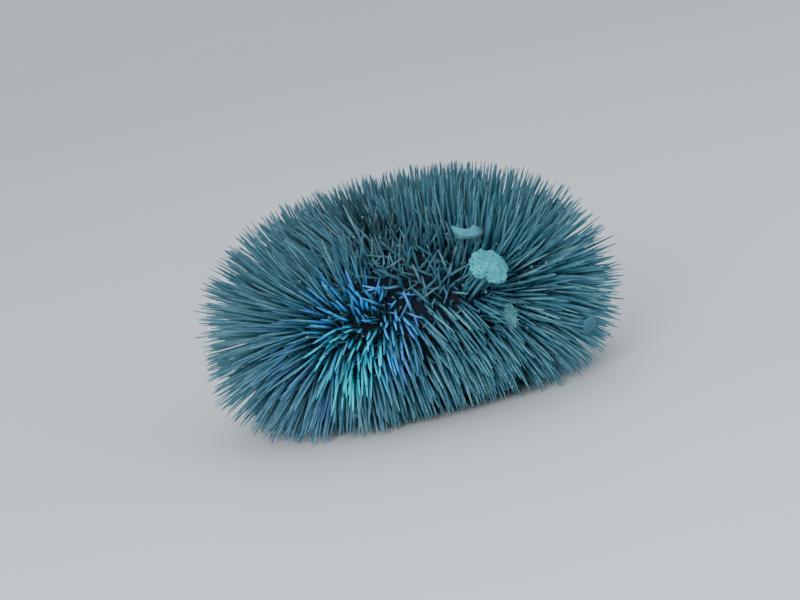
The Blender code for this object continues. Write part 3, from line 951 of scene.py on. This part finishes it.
class SEAEGG_OT_skin(bpy.types.Operator):
    """One dark skin over the whole test, with the joints of its plates"""

    bl_idname = "sea_egg.skin"
    bl_label = "Skin of the test"

    def execute(self, context):
        test, colours = test_and_colours(context)
        sizes = test.sizes
        rings = 130
        sides = 240
        groove_width = 0.0008
        groove_depth = 0.00022
        seat_depth = 0.0024
        pole = 0.002
        plates_across = 4
        plate_height = 0.0027
        seat = test.angle_at_radius(sizes.apical_radius + EDGE_ROOM, True)
        mouth = test.angle_at_radius(sizes.mouth_radius + EDGE_ROOM, False)
        arcs = np.linspace(test.arc_at(seat), test.arc_at(mouth), rings)
        angles = test.angle_at(arcs)
        radius, height = test.section(angles)
        around = turns_of(sides)
        share = (around - FRONT) % RAY_TURN / RAY_TURN
        off = np.minimum(share, 1 - share) * radius[:, None] * RAY_TURN
        lift = -groove_depth * np.exp(-(off / groove_width) ** 2)
        out, rise = test.outward(angles)
        radii = radius[:, None] + out[:, None] * lift
        heights = height[:, None] + rise[:, None] * lift
        seat_floor = heights[0].mean() - seat_depth
        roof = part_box("peristome")[1][2] + EDGE_ROOM
        radii = with_rings((pole, radii[0, 0]), radii, (radii[-1, 0], pole))
        heights = with_rings((seat_floor, seat_floor), heights, (roof, roof))
        points, loops, sizes_of, lie = turned_grid(test, around, radii, heights)
        arc = np.concatenate([[0, arcs[0]], arcs, [arcs[-1]] * 3])
        ring = np.clip(lie[:, 1].astype(int) - 1, 0, len(arc) - 1)
        turn = lie[:, 0] / sides
        bake = flat_map(TEST_REACH * arc[ring] / test.arcs[-1], turn * math.tau)
        plates = np.stack([turn * RAYS * plates_across, arc[ring] / plate_height], axis=-1)
        piece = mesh_object("test_skin", points, loops, sizes_of, {"Plates": plates, "OFBake": bake})
        nodes = [f"{kind}_{ray + 1}" for kind in ("interambulacrum", "ambulacrum") for ray in range(RAYS)]
        settle(piece, skin_material(colours), "spines", *nodes)
        return {"FINISHED"}


class SEAEGG_OT_long_spines(bpy.types.Operator):
    """Long spines in rows, shorter and splayed underneath, with bare lines between their bands"""

    bl_idname = "sea_egg.long_spines"
    bl_label = "Long spines"

    def execute(self, context):
        test, colours = test_and_colours(context)
        material = spine_material(colours)
        self.rows(test, material)
        self.loose(test, material)
        return {"FINISHED"}

    def rows(self, test, material):
        """The rows of long spines, as one piece for each fifth of the test."""
        sides = 7
        sway = 0.055
        untidy_sway = 0.27
        bow = 0.035
        thinned = 0.90
        sizes = test.sizes
        draw = np.random.default_rng(SEEDS["long_spines"])
        down, around = rows_of_roots(test, draw)
        feet = test.points(down, around)
        count = len(down)
        share = np.interp(np.degrees(down), LENGTH_DEGREES, LENGTH_SHARES)
        lengths = sizes.spine_length * share * np.clip(draw.normal(0.94, 0.105, count), 0.60, 1.06)
        untidy = worn(test, down, around)
        lengths *= (1 - untidy * draw.uniform(0.20, 0.66, count)) * length_factors(test, feet)
        lean = drift(feet, 0.11, SEEDS["wide_drift"]) + drift(feet, 0.10, SEEDS["fine_drift"], 0.008, 0.016)
        lean = lean + combed(test, feet)
        aside = parted(test, down, around) * (1 + 3 * untidy[:, None])
        aims = unit(test.normals(down, around) + lean + aside)
        aims = swayed(aims, sway + untidy_sway * untidy, draw)
        radii = sizes.spine_radius * np.clip(draw.normal(1.0, 0.11, count), 0.72, 1.28)
        aims = splayed(feet, aims, lengths)
        bows = bowed(aims, lengths, bow, draw)
        lengths = trimmed(feet, aims, lengths, sizes.spine_length)
        aims, lengths, holding = held(feet, aims, lengths, bows)
        lengths = inside_box(feet, aims, lengths, bows)
        bows = off_the_floor(feet, aims, lengths, bows, radii * TIP_SHARE)
        # Tones with painted shade over the top, in the gap left of the disc and in the worn patches
        tones = shaded(test, tones_for(count, draw), feet, untidy)
        casts = casts_for(test, feet, aims, lengths, draw)
        roots = test.unwrap(down, around)
        kept = (draw.uniform(0, 1, count) > thinned * untidy) | holding
        ray_of = np.floor(((around - FRONT) / RAY_TURN + 0.5) % RAYS).astype(int)
        for ray in range(RAYS):
            chosen = kept & (ray_of == ray)
            piece = spindles(
                f"long_spines_{ray + 1}", feet[chosen], aims[chosen], lengths[chosen], radii[chosen],
                LONG_PROFILE, sides, bows[chosen], tones[chosen], roots[chosen], casts[chosen],
            )
            settle(piece, material, "spines")

    def loose(self, test, material):
        """Thin spines at odd angles in the worn patches."""
        sides = 7
        tries = 40000
        sway = 0.62
        bow = 0.05
        draw = np.random.default_rng(SEEDS["loose_spines"])
        down, around = scattered_roots(test, tries, draw)
        chosen = np.flatnonzero(worn(test, down, around) > draw.uniform(0.1, 1.0, tries))
        chosen = chosen[:test.sizes.loose_spines]
        count = len(chosen)
        down = down[chosen]
        around = around[chosen]
        feet = test.points(down, around)
        lengths = draw.uniform(0.0040, 0.0118, count)
        aims = swayed(test.normals(down, around), sway, draw)
        radii = draw.uniform(0.00032, 0.00054, count)
        bows = bowed(aims, lengths, bow, draw)
        casts = casts_for(test, feet, aims, lengths, draw)
        # Tones with painted shade, darker in the worn patches where these spines lie
        tones = shaded(test, tones_for(count, draw), feet, worn(test, down, around))
        piece = spindles(
            "loose_spines", feet, aims, trimmed(feet, aims, lengths), radii, LONG_PROFILE, sides,
            bows, tones, test.unwrap(down, around), casts,
        )
        settle(piece, material, "spines")


class SEAEGG_OT_short_spines(bpy.types.Operator):
    """Short spines scattered between the roots of the long ones"""

    bl_idname = "sea_egg.short_spines"
    bl_label = "Short spines"

    def execute(self, context):
        test, colours = test_and_colours(context)
        sides = 6
        bare_width = 0.0012
        bare_chance = 0.3
        thinned = 0.8
        sway = 0.26
        bow = 0.08
        tone_spread = 0.22
        draw = np.random.default_rng(SEEDS["short_spines"])
        down, around = scattered_roots(test, test.sizes.short_spines, draw)
        line = np.minimum(*off_the_lines(test, down, around))
        kept = (line > bare_width) | (draw.uniform(0, 1, len(down)) < bare_chance)
        kept &= draw.uniform(0, 1, len(down)) > thinned * worn(test, down, around)
        down = down[kept]
        around = around[kept]
        count = len(down)
        feet = test.points(down, around)
        lengths = draw.uniform(0.0030, 0.0078, count) * shorter_below(down, 0.6)
        aims = splayed(feet, swayed(test.normals(down, around), sway, draw), lengths)
        radii = draw.uniform(0.00024, 0.00036, count)
        bows = bowed(aims, lengths, bow, draw)
        bows = off_the_floor(feet, aims, lengths, bows, radii * TIP_SHARE)
        roots = test.unwrap(down, around)
        tones = tones_for(count, draw, tone_spread)
        piece = spindles(
            "short_spines", feet, aims, lengths, radii, SHORT_PROFILE, sides, bows, tones, roots
        )
        settle(piece, small_material("short_spine_lime", colours.spine, 0.55, 300.0, 0.5), "spines")
        return {"FINISHED"}


class SEAEGG_OT_tubercles(bpy.types.Operator):
    """Bosses on the plates, between the spines and along the bare lines"""

    bl_idname = "sea_egg.tubercles"
    bl_label = "Tubercles"

    def execute(self, context):
        test, colours = test_and_colours(context)
        sides = 6
        count = 3600
        draw = np.random.default_rng(SEEDS["tubercles"])
        down, around = scattered_roots(test, count, draw)
        feet = test.points(down, around)
        aims = test.normals(down, around)
        lengths = draw.uniform(0.00028, 0.0006, count)
        radii = draw.uniform(0.00022, 0.00048, count)
        bows = np.zeros((count, 3))
        roots = test.unwrap(down, around)
        tones = tones_for(count, draw)
        piece = spindles("tubercles", feet, aims, lengths, radii, BOSS_PROFILE, sides, bows, tones, roots)
        colour = tuple(0.4 * warm + 0.06 * pale for warm, pale in zip(colours.test_warm, colours.spine))
        settle(piece, small_material("tubercle_lime", colour, 0.5, 500.0, 0.5), "test")
        return {"FINISHED"}


class SEAEGG_OT_tube_feet(bpy.types.Operator):
    """Tube feet in two bands down each narrow ray, and pincers between the spines"""

    bl_idname = "sea_egg.tube_feet"
    bl_label = "Tube feet and pincers"

    # Height over the floor that the tips of the lowest ones are aimed to keep
    floor_room = 0.001

    def execute(self, context):
        test, colours = test_and_colours(context)
        self.feet(test, colours)
        self.pincers(test, colours)
        return {"FINISHED"}

    def feet(self, test, colours):
        """Long soft feet with a sucker at the tip."""
        sides = 7
        sway = 0.22
        bow = 0.22
        tip_height = 0.0008
        draw = np.random.default_rng(SEEDS["tube_feet"])
        count = test.sizes.tube_feet
        down, around = scattered_roots(test, count, draw)
        ray = np.round((around - FRONT) / RAY_TURN - 0.5)
        band = np.where(draw.uniform(0, 1, count) < 0.5, -1, 1) * draw.uniform(7.0, 11.5, count)
        around = FRONT + (ray + 0.5) * RAY_TURN + np.radians(band)
        feet = test.points(down, around)
        lengths = draw.uniform(0.006, 0.0135, count) * shorter_below(down, 0.7)
        aims = splayed(feet, swayed(test.normals(down, around), sway, draw), lengths, self.floor_room)
        bows = bowed(aims, lengths, bow, draw)
        bows = off_the_floor(feet, aims, lengths, bows, tip_height)
        lengths = inside_box(feet, aims, trimmed(feet, aims, lengths), bows)
        radii = draw.uniform(0.00018, 0.00027, count)
        roots = test.unwrap(down, around)
        tones = tones_for(count, draw)
        piece = spindles("tube_feet", feet, aims, lengths, radii, FOOT_PROFILE, sides, bows, tones, roots)
        settle(piece, small_material("tube_foot_skin", colours.foot, 0.35, 380.0, 0.4), "membrane")

    def pincers(self, test, colours):
        """Tiny stalked pincers."""
        sides = 6
        sway = 0.3
        bow = 0.2
        draw = np.random.default_rng(SEEDS["pincers"])
        count = test.sizes.pincers
        down, around = scattered_roots(test, count, draw)
        feet = test.points(down, around)
        lengths = draw.uniform(0.0022, 0.0048, count)
        aims = splayed(feet, swayed(test.normals(down, around), sway, draw), lengths, self.floor_room)
        bows = bowed(aims, lengths, bow, draw)
        radii = draw.uniform(0.00026, 0.00036, count)
        roots = test.unwrap(down, around)
        tones = tones_for(count, draw)
        piece = spindles("pincers", feet, aims, lengths, radii, PINCER_PROFILE, sides, bows, tones, roots)
        settle(piece, small_material("pincer_skin", colours.foot, 0.4, 420.0, 0.4), "membrane")


def plated_disc(radius, base, top, dome, centres, groove, sides=120, rings=40):
    """Points of a low dome parted into plates by grooves round the given centres."""
    groove_share = 0.10
    reach = np.linspace(POLE_SHARE, 1.0, rings)
    around = turns_of(sides)
    x = reach[:, None] * radius * np.cos(around)
    y = reach[:, None] * radius * np.sin(around)
    away = np.sort(np.hypot(x[..., None] - centres[:, 0], y[..., None] - centres[:, 1]), axis=-1)
    edge = smooth_step(away[..., 1] - away[..., 0], 0.0, radius * groove_share)
    heights = top + dome * (1 - reach[:, None] ** 2) - groove * (1 - edge)
    radii = np.repeat((reach * radius)[:, None], sides, axis=1)
    radii = with_rings((), radii, (radius, radius * POLE_SHARE))
    return around, radii, with_rings((), heights, (base, base))


class SEAEGG_OT_apical_disc(bpy.types.Operator):
    """The disc of plates on top, with a few short spines on it"""

    bl_idname = "sea_egg.apical_disc"
    bl_label = "Apical disc"

    def execute(self, context):
        test, colours = test_and_colours(context)
        dome = 0.0009
        groove = 0.0003
        large_share = 0.55
        small_share = 0.88
        low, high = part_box("apical_disc")
        radius = (high[0] - low[0]) / 2
        turn = FRONT + RAY_TURN * np.arange(RAYS)
        middle = np.array([[0.0, 0.0]])
        large = ring_of(turn) * radius * large_share
        small = ring_of(turn + RAY_TURN / 2) * radius * small_share
        centres = np.concatenate([middle, large, small])
        seat_top = float(test.section(test.angle_at_radius(test.sizes.apical_radius + EDGE_ROOM, True))[1])
        around, radii, heights = plated_disc(radius, low[2], seat_top, dome, centres, groove)
        points, loops, sizes, lie = turned_grid(test, around, radii, heights)
        reach = np.clip(lie[:, 1] / radii.shape[0], 0, 1) * ROUND_REACH
        bake = flat_map(reach, lie[:, 0] / radii.shape[1] * math.tau)
        piece = mesh_object("apical_disc_plates", points, loops, sizes, {"OFBake": bake})
        settle(piece, small_material("disc_lime", colours.test_warm, 0.5, 500.0, 0.5), "test", "apical_disc")
        self.spines(test, colours, radius, seat_top)
        return {"FINISHED"}

    def spines(self, test, colours, radius, top):
        """Spines on the disc, shorter where the worn patch in front of it begins."""
        sides = 8
        count = 84
        root_lift = 0.0003
        outward = 0.3
        sway = 0.16
        worn_share = 0.6
        bow = 0.05
        map_reach = 0.05
        draw = np.random.default_rng(SEEDS["apical_spines"])
        reach = radius * np.sqrt(draw.uniform(0.04, 0.98, count))
        turn = draw.uniform(0, math.tau, count)
        flat = ring_of(turn) * reach[:, None]
        feet = np.column_stack([flat + test.axis, np.full(count, top + root_lift)])
        aims = swayed(unit(ring_of(turn, np.ones(count)) * (outward, outward, 1)), sway, draw)
        down = np.arcsin((reach / test.sizes.test_radius) ** (test.sizes.round_above / 2))
        lengths = draw.uniform(0.0075, 0.0138, count) * (1 - worn_share * worn(test, down, turn))
        radii = draw.uniform(0.00034, 0.0005, count)
        bows = bowed(aims, lengths, bow, draw)
        roots = 0.5 + map_reach * flat / radius
        tones = tones_for(count, draw)
        piece = spindles(
            "apical_spines", feet, aims, lengths, radii, LONG_PROFILE, sides, bows, tones, roots
        )
        settle(piece, spine_material(colours), "spines")


class SEAEGG_OT_mouth(bpy.types.Operator):
    """The wrinkled skin around the mouth, its ten stout feet and the five teeth"""

    bl_idname = "sea_egg.mouth"
    bl_label = "Mouth"

    def execute(self, context):
        test, colours = test_and_colours(context)
        low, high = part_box("peristome")
        radius = (high[0] - low[0]) / 2
        around, radii, heights = self.folded_skin(test, low, high, radius)
        points, loops, sizes, lie = turned_grid(test, around, radii, heights)
        reach = ROUND_REACH * lie[:, 1] / (radii.shape[0] + 1)
        bake = flat_map(reach, lie[:, 0] / len(around) * math.tau)
        piece = mesh_object("mouth_skin", points, loops, sizes, {"OFBake": bake})
        material = small_material("mouth_skin", colours.membrane, 0.42, 300.0, 0.45, 0.0001)
        settle(piece, material, "membrane", "peristome")
        self.stout_feet(test, radius, material)
        enamel = small_material("tooth_enamel", colours.tooth, 0.3, 700.0, 0.2)
        for ray in range(RAYS):
            self.tooth(ray, enamel)
        return {"FINISHED"}

    def folded_skin(self, test, low, high, radius):
        """Rings of the skin, from its roof over the rim and the wrinkled bulge to the lip inside."""
        sides = 160
        rings = 34
        opening = 0.29
        width = 0.71
        lip_share = 0.27
        lip_depth = 0.0004
        bulge_share = 0.85
        wrinkle_height = 0.00016
        fold_height = 0.00014
        around = turns_of(sides)
        reach = np.linspace(1.0, opening, rings)
        inward = np.clip((1 - reach) / width, 0, 1)
        bulge = (low[2] - test.sizes.underside) * np.sin(inward * math.pi * 0.62)
        wrinkle = wrinkle_height * np.sin(around * 40) * np.sin((1 - reach[:, None]) * 9)
        folds = fold_height * np.sin(reach[:, None] * 60)
        heights = test.sizes.underside + bulge[:, None] * bulge_share + np.abs(wrinkle) + folds * 0.6
        radii = np.repeat((reach * radius)[:, None], sides, axis=1)
        pole = radius * POLE_SHARE
        inner = high[2] - lip_depth
        radii = with_rings((pole, radius), radii, (radius * lip_share, pole))
        return around, radii, with_rings((high[2], high[2]), heights, (inner, inner))

    def stout_feet(self, test, radius, material):
        """Ten stout feet in pairs round the mouth."""
        sides = 12
        count = 2 * RAYS
        half_turn = 0.16
        reach = 0.62
        root_depth = 0.0008
        map_reach = 0.25
        pairs = np.repeat(np.arange(RAYS), 2) + 0.5
        turn = FRONT + RAY_TURN * pairs + np.tile([-half_turn, half_turn], RAYS)
        feet = ring_of(turn, np.zeros(count)) * radius * reach
        feet[:, :2] += test.axis
        feet[:, 2] = test.sizes.underside - root_depth
        aims = unit(ring_of(turn, -np.ones(count)) * (0.5, 0.5, 1))
        lengths = np.full(count, 0.0026)
        radii = np.full(count, 0.0005)
        bows = np.zeros((count, 3))
        tones = tones_for(count, np.random.default_rng(SEEDS["stout_feet"]))
        roots = 0.5 + map_reach * ring_of(turn)
        piece = spindles("stout_feet", feet, aims, lengths, radii, FOOT_PROFILE, sides, bows, tones, roots)
        settle(piece, material, "membrane")

    def tooth(self, ray, enamel):
        """One curved tooth, from its root in the test to its tip by the middle."""
        sides = 16
        lean = 0.29
        root_share = 0.8
        radius = 0.00066
        bow = 0.0003
        name = f"tooth_{ray + 1}"
        low, high = corners(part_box(name))
        around = FRONT + RAY_TURN * (ray + 0.5)
        out = np.array([math.cos(around), math.sin(around), 0.0])
        centre = (low + high) / 2
        half = (high[2] - low[2]) / 2
        foot = centre + out * half * lean * root_share + np.array([0, 0, half])
        tip = centre - out * half * lean + np.array([0, 0, -half])
        length = np.linalg.norm(tip - foot)
        aim = (tip - foot) / length
        tones = tones_for(1, np.random.default_rng(SEEDS["teeth"] + ray))
        piece = spindles(
            f"{name}_enamel", foot[None], aim[None], np.array([length]), np.array([radius]),
            TOOTH_PROFILE, sides, (out * bow)[None], tones, np.array([[0.5, 0.5]]),
        )
        settle(piece, enamel, "teeth", name)


def scrap(name, subdivisions, shape):
    """A scrap of debris: a ball of points shaped by a function and set in its place."""
    centre, axes, half = debris_places()[name]
    bpy.ops.mesh.primitive_ico_sphere_add(subdivisions=subdivisions, radius=1.0)
    ball = bpy.context.object
    points = np.array([vert.co for vert in ball.data.vertices])
    loops = np.array([corner.vertex_index for corner in ball.data.loops])
    bpy.data.objects.remove(ball)
    world = shape(points, half) @ axes.T + centre
    bake = (0.5 + 0.22 * points[:, :2] * (1 + 0.6 * (points[:, 2:3] < 0)))[loops]
    ball_place = {"ball": np.concatenate([0.5 + 0.5 * points, np.ones((len(points), 1))], axis=1)}
    corners = np.full(len(loops) // 3, 3)
    return mesh_object(name + "_scrap", world, loops, corners, {"OFBake": bake}, ball_place)


def knobs(points, count, size, height, seed):
    """Height added to a ball by round knobs scattered over it."""
    centres = unit(np.random.default_rng(seed).normal(0, 1, (count, 3)))
    away = np.linalg.norm(points[:, None] - centres[None], axis=-1)
    return height * np.exp(-(away / size) ** 2).max(axis=1)


def notch(turn, middle, width, depth):
    """A rounded bite out of an outline at an angle in degrees, or a bulge where the depth is below 0."""
    off = (np.degrees(turn) - middle + 180) % 360 - 180
    return 1 - depth * np.exp(-(off / width) ** 2)


def turned(points, degrees, right, up):
    """Points of a scrap turned clockwise in its own plane and moved a little."""
    cosine = math.cos(math.radians(degrees))
    sine = math.sin(math.radians(degrees))
    across = points[:, 0] * cosine + points[:, 1] * sine + right
    rise = points[:, 1] * cosine - points[:, 0] * sine + up
    return np.stack([across, rise, points[:, 2]], axis=-1)


class SEAEGG_OT_debris(bpy.types.Operator):
    """Scraps of coral, shell and weed that the animal holds on its spine tips"""

    bl_idname = "sea_egg.debris"
    bl_label = "Debris"

    VALVE_ACROSS = (-1, -0.92, -0.55, -0.15, 0.15, 0.42, 0.80, 1)
    VALVE_TOP = (0.80, 1.0, 0.62, 0.30, 0.36, 0.76, 0.55, 0.0)
    VALVE_RIM = (-0.45, -0.72, -0.86, -0.95, -0.96, -0.88, -0.55, -0.1)

    def execute(self, context):
        colours = context.scene.sea_egg_colours
        coral = self.coral_material(colours.coral)
        settle(scrap("coral_chip", 6, self.coral_shape), coral, "coral", "coral_chip")
        valve = self.shell_material("shell_flake", colours.shell)
        settle(scrap("shell_flake", 6, self.valve_shape), valve, "shell", "shell_flake")
        worn_shell = small_material("smooth_chip", colours.smooth_chip, 0.5, 160.0, 0.12, 0.00003)
        settle(scrap("smooth_chip", 5, self.chip_shape), worn_shell, "shell", "smooth_chip")
        felt = small_material("weed_felt", colours.weed, 0.8, 300.0, 0.35, 0.00012, 0.1)
        settle(scrap("weed_flake", 5, self.weed_shape), felt, "weed", "weed_flake")
        self.weed_threads(felt)
        return {"FINISHED"}

    def coral_shape(self, points, half):
        """Two knobbly lobes, the right one lower, with a notch above, one below and a furrow between."""
        turn = np.arctan2(points[:, 1], points[:, 0])
        outline = notch(turn, 78, 15, 0.14) * notch(turn, -116, 16, 0.22) * notch(turn, -66, 26, -0.24)
        outline *= notch(turn, 38, 24, 0.14)
        off = points[:, 0] + 0.10 * points[:, 1] + 0.13 * np.sin(points[:, 1] * 4) + 0.02
        furrow = 0.16 * np.exp(-(off / 0.09) ** 2) * (points[:, 2] > 0)
        lumps = 0.84 + knobs(points, 70, 0.17, 0.11, SEEDS["coral_lumps"])
        grown = lumps + knobs(points, 900, 0.040, 0.060, SEEDS["coral_grain"])
        shaped = points * (grown * outline)[:, None]
        shaped[:, 2] -= furrow
        return turned(np.clip(shaped, -1.02, 1.02) * half * (1.0, 1.06, 1.0), 9, -0.0004, -0.0004)

    def valve_shape(self, points, half):
        """Part of a worn valve: a bulging crescent, bitten above, with a lip along its lower rim."""
        across = np.clip(points[:, 0], -0.999, 0.999)
        share = np.clip(points[:, 1] / np.sqrt(1 - across ** 2), -1, 1)
        top = np.interp(across, self.VALVE_ACROSS, self.VALVE_TOP)
        rim = np.interp(across, self.VALVE_ACROSS, self.VALVE_RIM)
        rise = rim + (top - rim) * (share + 1) / 2
        bulge = 1.1 * (1 - across ** 2) * (1 - 0.6 * share ** 2) - 0.55
        lip = np.where(points[:, 2] > 0, 0.45, -0.1) * np.exp(-((share + 0.88) / 0.10) ** 2)
        deep = points[:, 2] * 0.30 + bulge + lip - 0.20 * share
        return turned(np.stack([across, rise, deep], axis=-1) * half * (1.0, 1.1, 1.0), 13, 0.0008, -0.0002)

    def chip_shape(self, points, half):
        """A smooth oval chip, a little domed."""
        shaped = points.copy()
        shaped[:, 2] = points[:, 2] * 0.55 + 0.25 * (1 - points[:, 0] ** 2 - points[:, 1] ** 2)
        shaped[:, :2] *= notch(np.arctan2(points[:, 1], points[:, 0]), 40, 50, 0.12)[:, None]
        return shaped * half * 0.97

    def weed_shape(self, points, half):
        """A flat, lumpy wisp."""
        shaped = points * (0.62 + knobs(points, 90, 0.13, 0.30, SEEDS["weed_lumps"])[:, None])
        shaped[:, 2] = shaped[:, 2] * 0.7 + 0.15 * np.sin(points[:, 1] * 6)
        return np.clip(shaped, -1, 1) * half

    def weed_threads(self, material):
        """Fine threads that stand out round the wisp of weed."""
        sides = 5
        count = 60
        sway = 0.3
        bow = 0.3
        centre, axes, half = debris_places()["weed_flake"]
        draw = np.random.default_rng(SEEDS["weed_threads"])
        turn = draw.uniform(0, math.tau, count)
        reach = np.sqrt(draw.uniform(0.05, 1.0, count)) * 0.85
        flat = np.column_stack([ring_of(turn) * reach[:, None], draw.uniform(-0.3, 0.5, count)])
        feet = (flat * 0.8 * half) @ axes.T + centre
        outward = ring_of(turn, draw.uniform(0.1, 1.2, count))
        aims = swayed(unit(outward @ axes.T), sway, draw)
        lengths = draw.uniform(0.0008, 0.0022, count)
        radii = draw.uniform(0.00007, 0.00014, count)
        bows = bowed(aims, lengths, bow, draw)
        roots = 0.5 + 0.3 * flat[:, :2]
        tones = tones_for(count, draw)
        piece = spindles(
            "weed_threads", feet, aims, lengths, radii, SHORT_PROFILE, sides, bows, tones, roots
        )
        settle(piece, material, "weed")

    def shell_material(self, name, colour):
        """Worn shell, pale on the wall, with painted shade along its lower rim and towards the right."""
        material, tree, shader, where = start_material(name, 0.5, 0.3)
        ball_across, ball_up, _, _ = point_colour(tree, "ball")
        across = maths(tree, "SUBTRACT", ball_across, 0.5)
        up = maths(tree, "SUBTRACT", ball_up, 0.5)
        reach = maths(tree, "ADD", maths(tree, "MULTIPLY", across, across), maths(tree, "MULTIPLY", up, up))
        # Painted shade along the lower rim, the underside turned away from the light
        rim = maths(tree, "MULTIPLY", ranged(tree, reach, 0.155, 0.205), ranged(tree, up, 0.05, -0.12))
        painted_rim_shade = (colour[0] * 0.90, colour[1] * 0.48, colour[2] * 0.42)
        cloud = ranged(tree, noise(tree, where, 320.0, 3.0), 0.35, 0.7)
        wall = mixed(tree, cloud, colour, toned(colour, 1.30))
        # Painted shade towards the right of the flake
        wall_with_side_shade = mixed(tree, ranged(tree, across, 0.12, 0.42, 0.0, 0.75), wall, toned(colour, 0.42))
        tree.links.new(mixed(tree, rim, wall_with_side_shade, painted_rim_shade), shader.inputs["Base Color"])
        bump(tree, shader, noise(tree, where, 1500.0, 3.0), 0.00008, 0.8)
        return material

    def coral_material(self, colour):
        """Pale porous rubble with small pits, darkened with painted shade."""
        material, tree, shader, where = start_material("coral_rubble", 0.8, 0.15)
        cells = node(tree, "ShaderNodeTexVoronoi", Vector=where, Scale=900.0)
        pits_and_shade = ranged(tree, cells.outputs["Distance"], 0.02, 0.46)
        cloud = ranged(tree, noise(tree, where, 260.0, 4.0), 0.35, 0.7)
        body = mixed(tree, cloud, colour, toned(colour, 1.45))
        # Painted shade in the pits, which the bump also sinks
        tree.links.new(mixed(tree, pits_and_shade, toned(colour, 0.36), body), shader.inputs["Base Color"])
        height = maths(tree, "ADD", pits_and_shade, noise(tree, where, 1500.0, 3.0))
        bump(tree, shader, height, 0.00016, 0.8)
        return material


class SEAEGG_OT_stage(bpy.types.Operator):
    """The pale floor, the soft studio lights and the camera"""

    bl_idname = "sea_egg.stage"
    bl_label = "Stage"

    def execute(self, context):
        self.floor(context.scene.sea_egg_colours)
        self.lights(context)
        self.camera(context)
        return {"FINISHED"}

    def floor(self, colours):
        """A wide pale floor, nearly even."""
        bpy.ops.mesh.primitive_circle_add(vertices=96, radius=20.0, fill_type="NGON", location=(0, 0, 0))
        floor = bpy.context.object
        floor.name = "floor"
        material, tree, shader, where = start_material("floor", 0.6)
        spread = ranged(tree, noise(tree, where, 3.0, 2.0), 0.3, 0.7)
        dim = toned(colours.floor, 0.985)
        tree.links.new(mixed(tree, spread, dim, colours.floor), shader.inputs["Base Color"])
        floor.data.materials.append(material)

    def lights(self, context):
        """Pale surroundings, a soft key light from the front left, a fill and a faint top light."""
        aimed_at = Vector((0, 0, 0.03))
        world = bpy.data.worlds.new("studio")
        world.use_nodes = True
        background = world.node_tree.nodes["Background"]
        background.inputs["Color"].default_value = (0.82, 0.92, 1.0, 1.0)
        background.inputs["Strength"].default_value = 1.06
        context.scene.world = world
        lamps = (
            ("key", (-0.34, -1.04, 0.46), 0.55, 15.0, (1.0, 1.0, 0.99)),
            ("fill", (0.85, -0.75, 0.40), 0.7, 5.6, (0.90, 0.96, 1.0)),
            ("top", (0.10, 0.60, 1.00), 0.8, 2.2, (0.95, 0.98, 1.0)),
        )
        for name, place, size, power, colour in lamps:
            lamp = bpy.data.lights.new(name, "AREA")
            lamp.shape = "DISK"
            lamp.size = size
            lamp.energy = power
            lamp.color = colour
            obj = bpy.data.objects.new(name, lamp)
            obj.location = place
            obj.rotation_mode = "QUATERNION"
            obj.rotation_quaternion = (aimed_at - Vector(place)).to_track_quat("-Z", "Y")
            context.scene.collection.objects.link(obj)

    def camera(self, context):
        """The photograph's view: a long lens just above the widest part, leaning to the left."""
        distance = 0.75
        lift = math.radians(11.0)
        lean = math.radians(12.1)
        metres_per_pixel = 0.000345
        wide_pixels = 800
        target = Vector((0, 0, 0.036))
        target_pixel = Vector((408.5, 290.0))
        middle_pixel = Vector((400.0, 300.0))
        back = Vector((0, -math.cos(lift), math.sin(lift)))
        level = Vector((1, 0, 0))
        upward = back.cross(level)
        right = level * math.cos(lean) - upward * math.sin(lean)
        up = level * math.sin(lean) + upward * math.cos(lean)
        off = (target_pixel - middle_pixel) * metres_per_pixel
        place = target + back * distance - right * off.x + up * off.y
        data = bpy.data.cameras.new("camera")
        data.sensor_width = 36.0
        data.lens = data.sensor_width * distance / (wide_pixels * metres_per_pixel)
        data.clip_start = 0.01
        data.clip_end = 60.0
        camera = bpy.data.objects.new("camera", data)
        turn = Matrix((right, up, back)).transposed().to_4x4()
        camera.matrix_world = Matrix.Translation(place) @ turn
        context.scene.collection.objects.link(camera)
        context.scene.camera = camera


class SEAEGG_PT_panel(bpy.types.Panel):
    """Sizes, colours and the steps that build the sea egg"""

    bl_idname = "SEAEGG_PT_panel"
    bl_label = "Sea Egg"
    bl_space_type = "VIEW_3D"
    bl_region_type = "UI"
    bl_category = "Sea Egg"

    def draw(self, context):
        layout = self.layout
        for operator in OPERATORS:
            layout.operator(operator.bl_idname)
        for group in (context.scene.sea_egg_sizes, context.scene.sea_egg_colours):
            box = layout.box()
            for name in group.__annotations__:
                box.prop(group, name)


OPERATORS = (
    SEAEGG_OT_stage,
    SEAEGG_OT_skin,
    SEAEGG_OT_tubercles,
    SEAEGG_OT_long_spines,
    SEAEGG_OT_short_spines,
    SEAEGG_OT_tube_feet,
    SEAEGG_OT_apical_disc,
    SEAEGG_OT_mouth,
    SEAEGG_OT_debris,
)
CLASSES = (SeaEggSizes, SeaEggColours, *OPERATORS, SEAEGG_PT_panel)


def register():
    """Add the classes, and the sizes and colours of the scene."""
    for made in CLASSES:
        bpy.utils.register_class(made)
    bpy.types.Scene.sea_egg_sizes = PointerProperty(type=SeaEggSizes)
    bpy.types.Scene.sea_egg_colours = PointerProperty(type=SeaEggColours)


def unregister():
    """Take away what register added."""
    del bpy.types.Scene.sea_egg_colours
    del bpy.types.Scene.sea_egg_sizes
    for made in reversed(CLASSES):
        bpy.utils.unregister_class(made)


def main():
    """Build everything in order."""
    register()
    bpy.ops.sea_egg.stage()
    bpy.ops.sea_egg.skin()
    bpy.ops.sea_egg.tubercles()
    bpy.ops.sea_egg.long_spines()
    bpy.ops.sea_egg.short_spines()
    bpy.ops.sea_egg.tube_feet()
    bpy.ops.sea_egg.apical_disc()
    bpy.ops.sea_egg.mouth()
    bpy.ops.sea_egg.debris()
    bpy.context.view_layer.update()


if __name__ == "__main__":
    main()
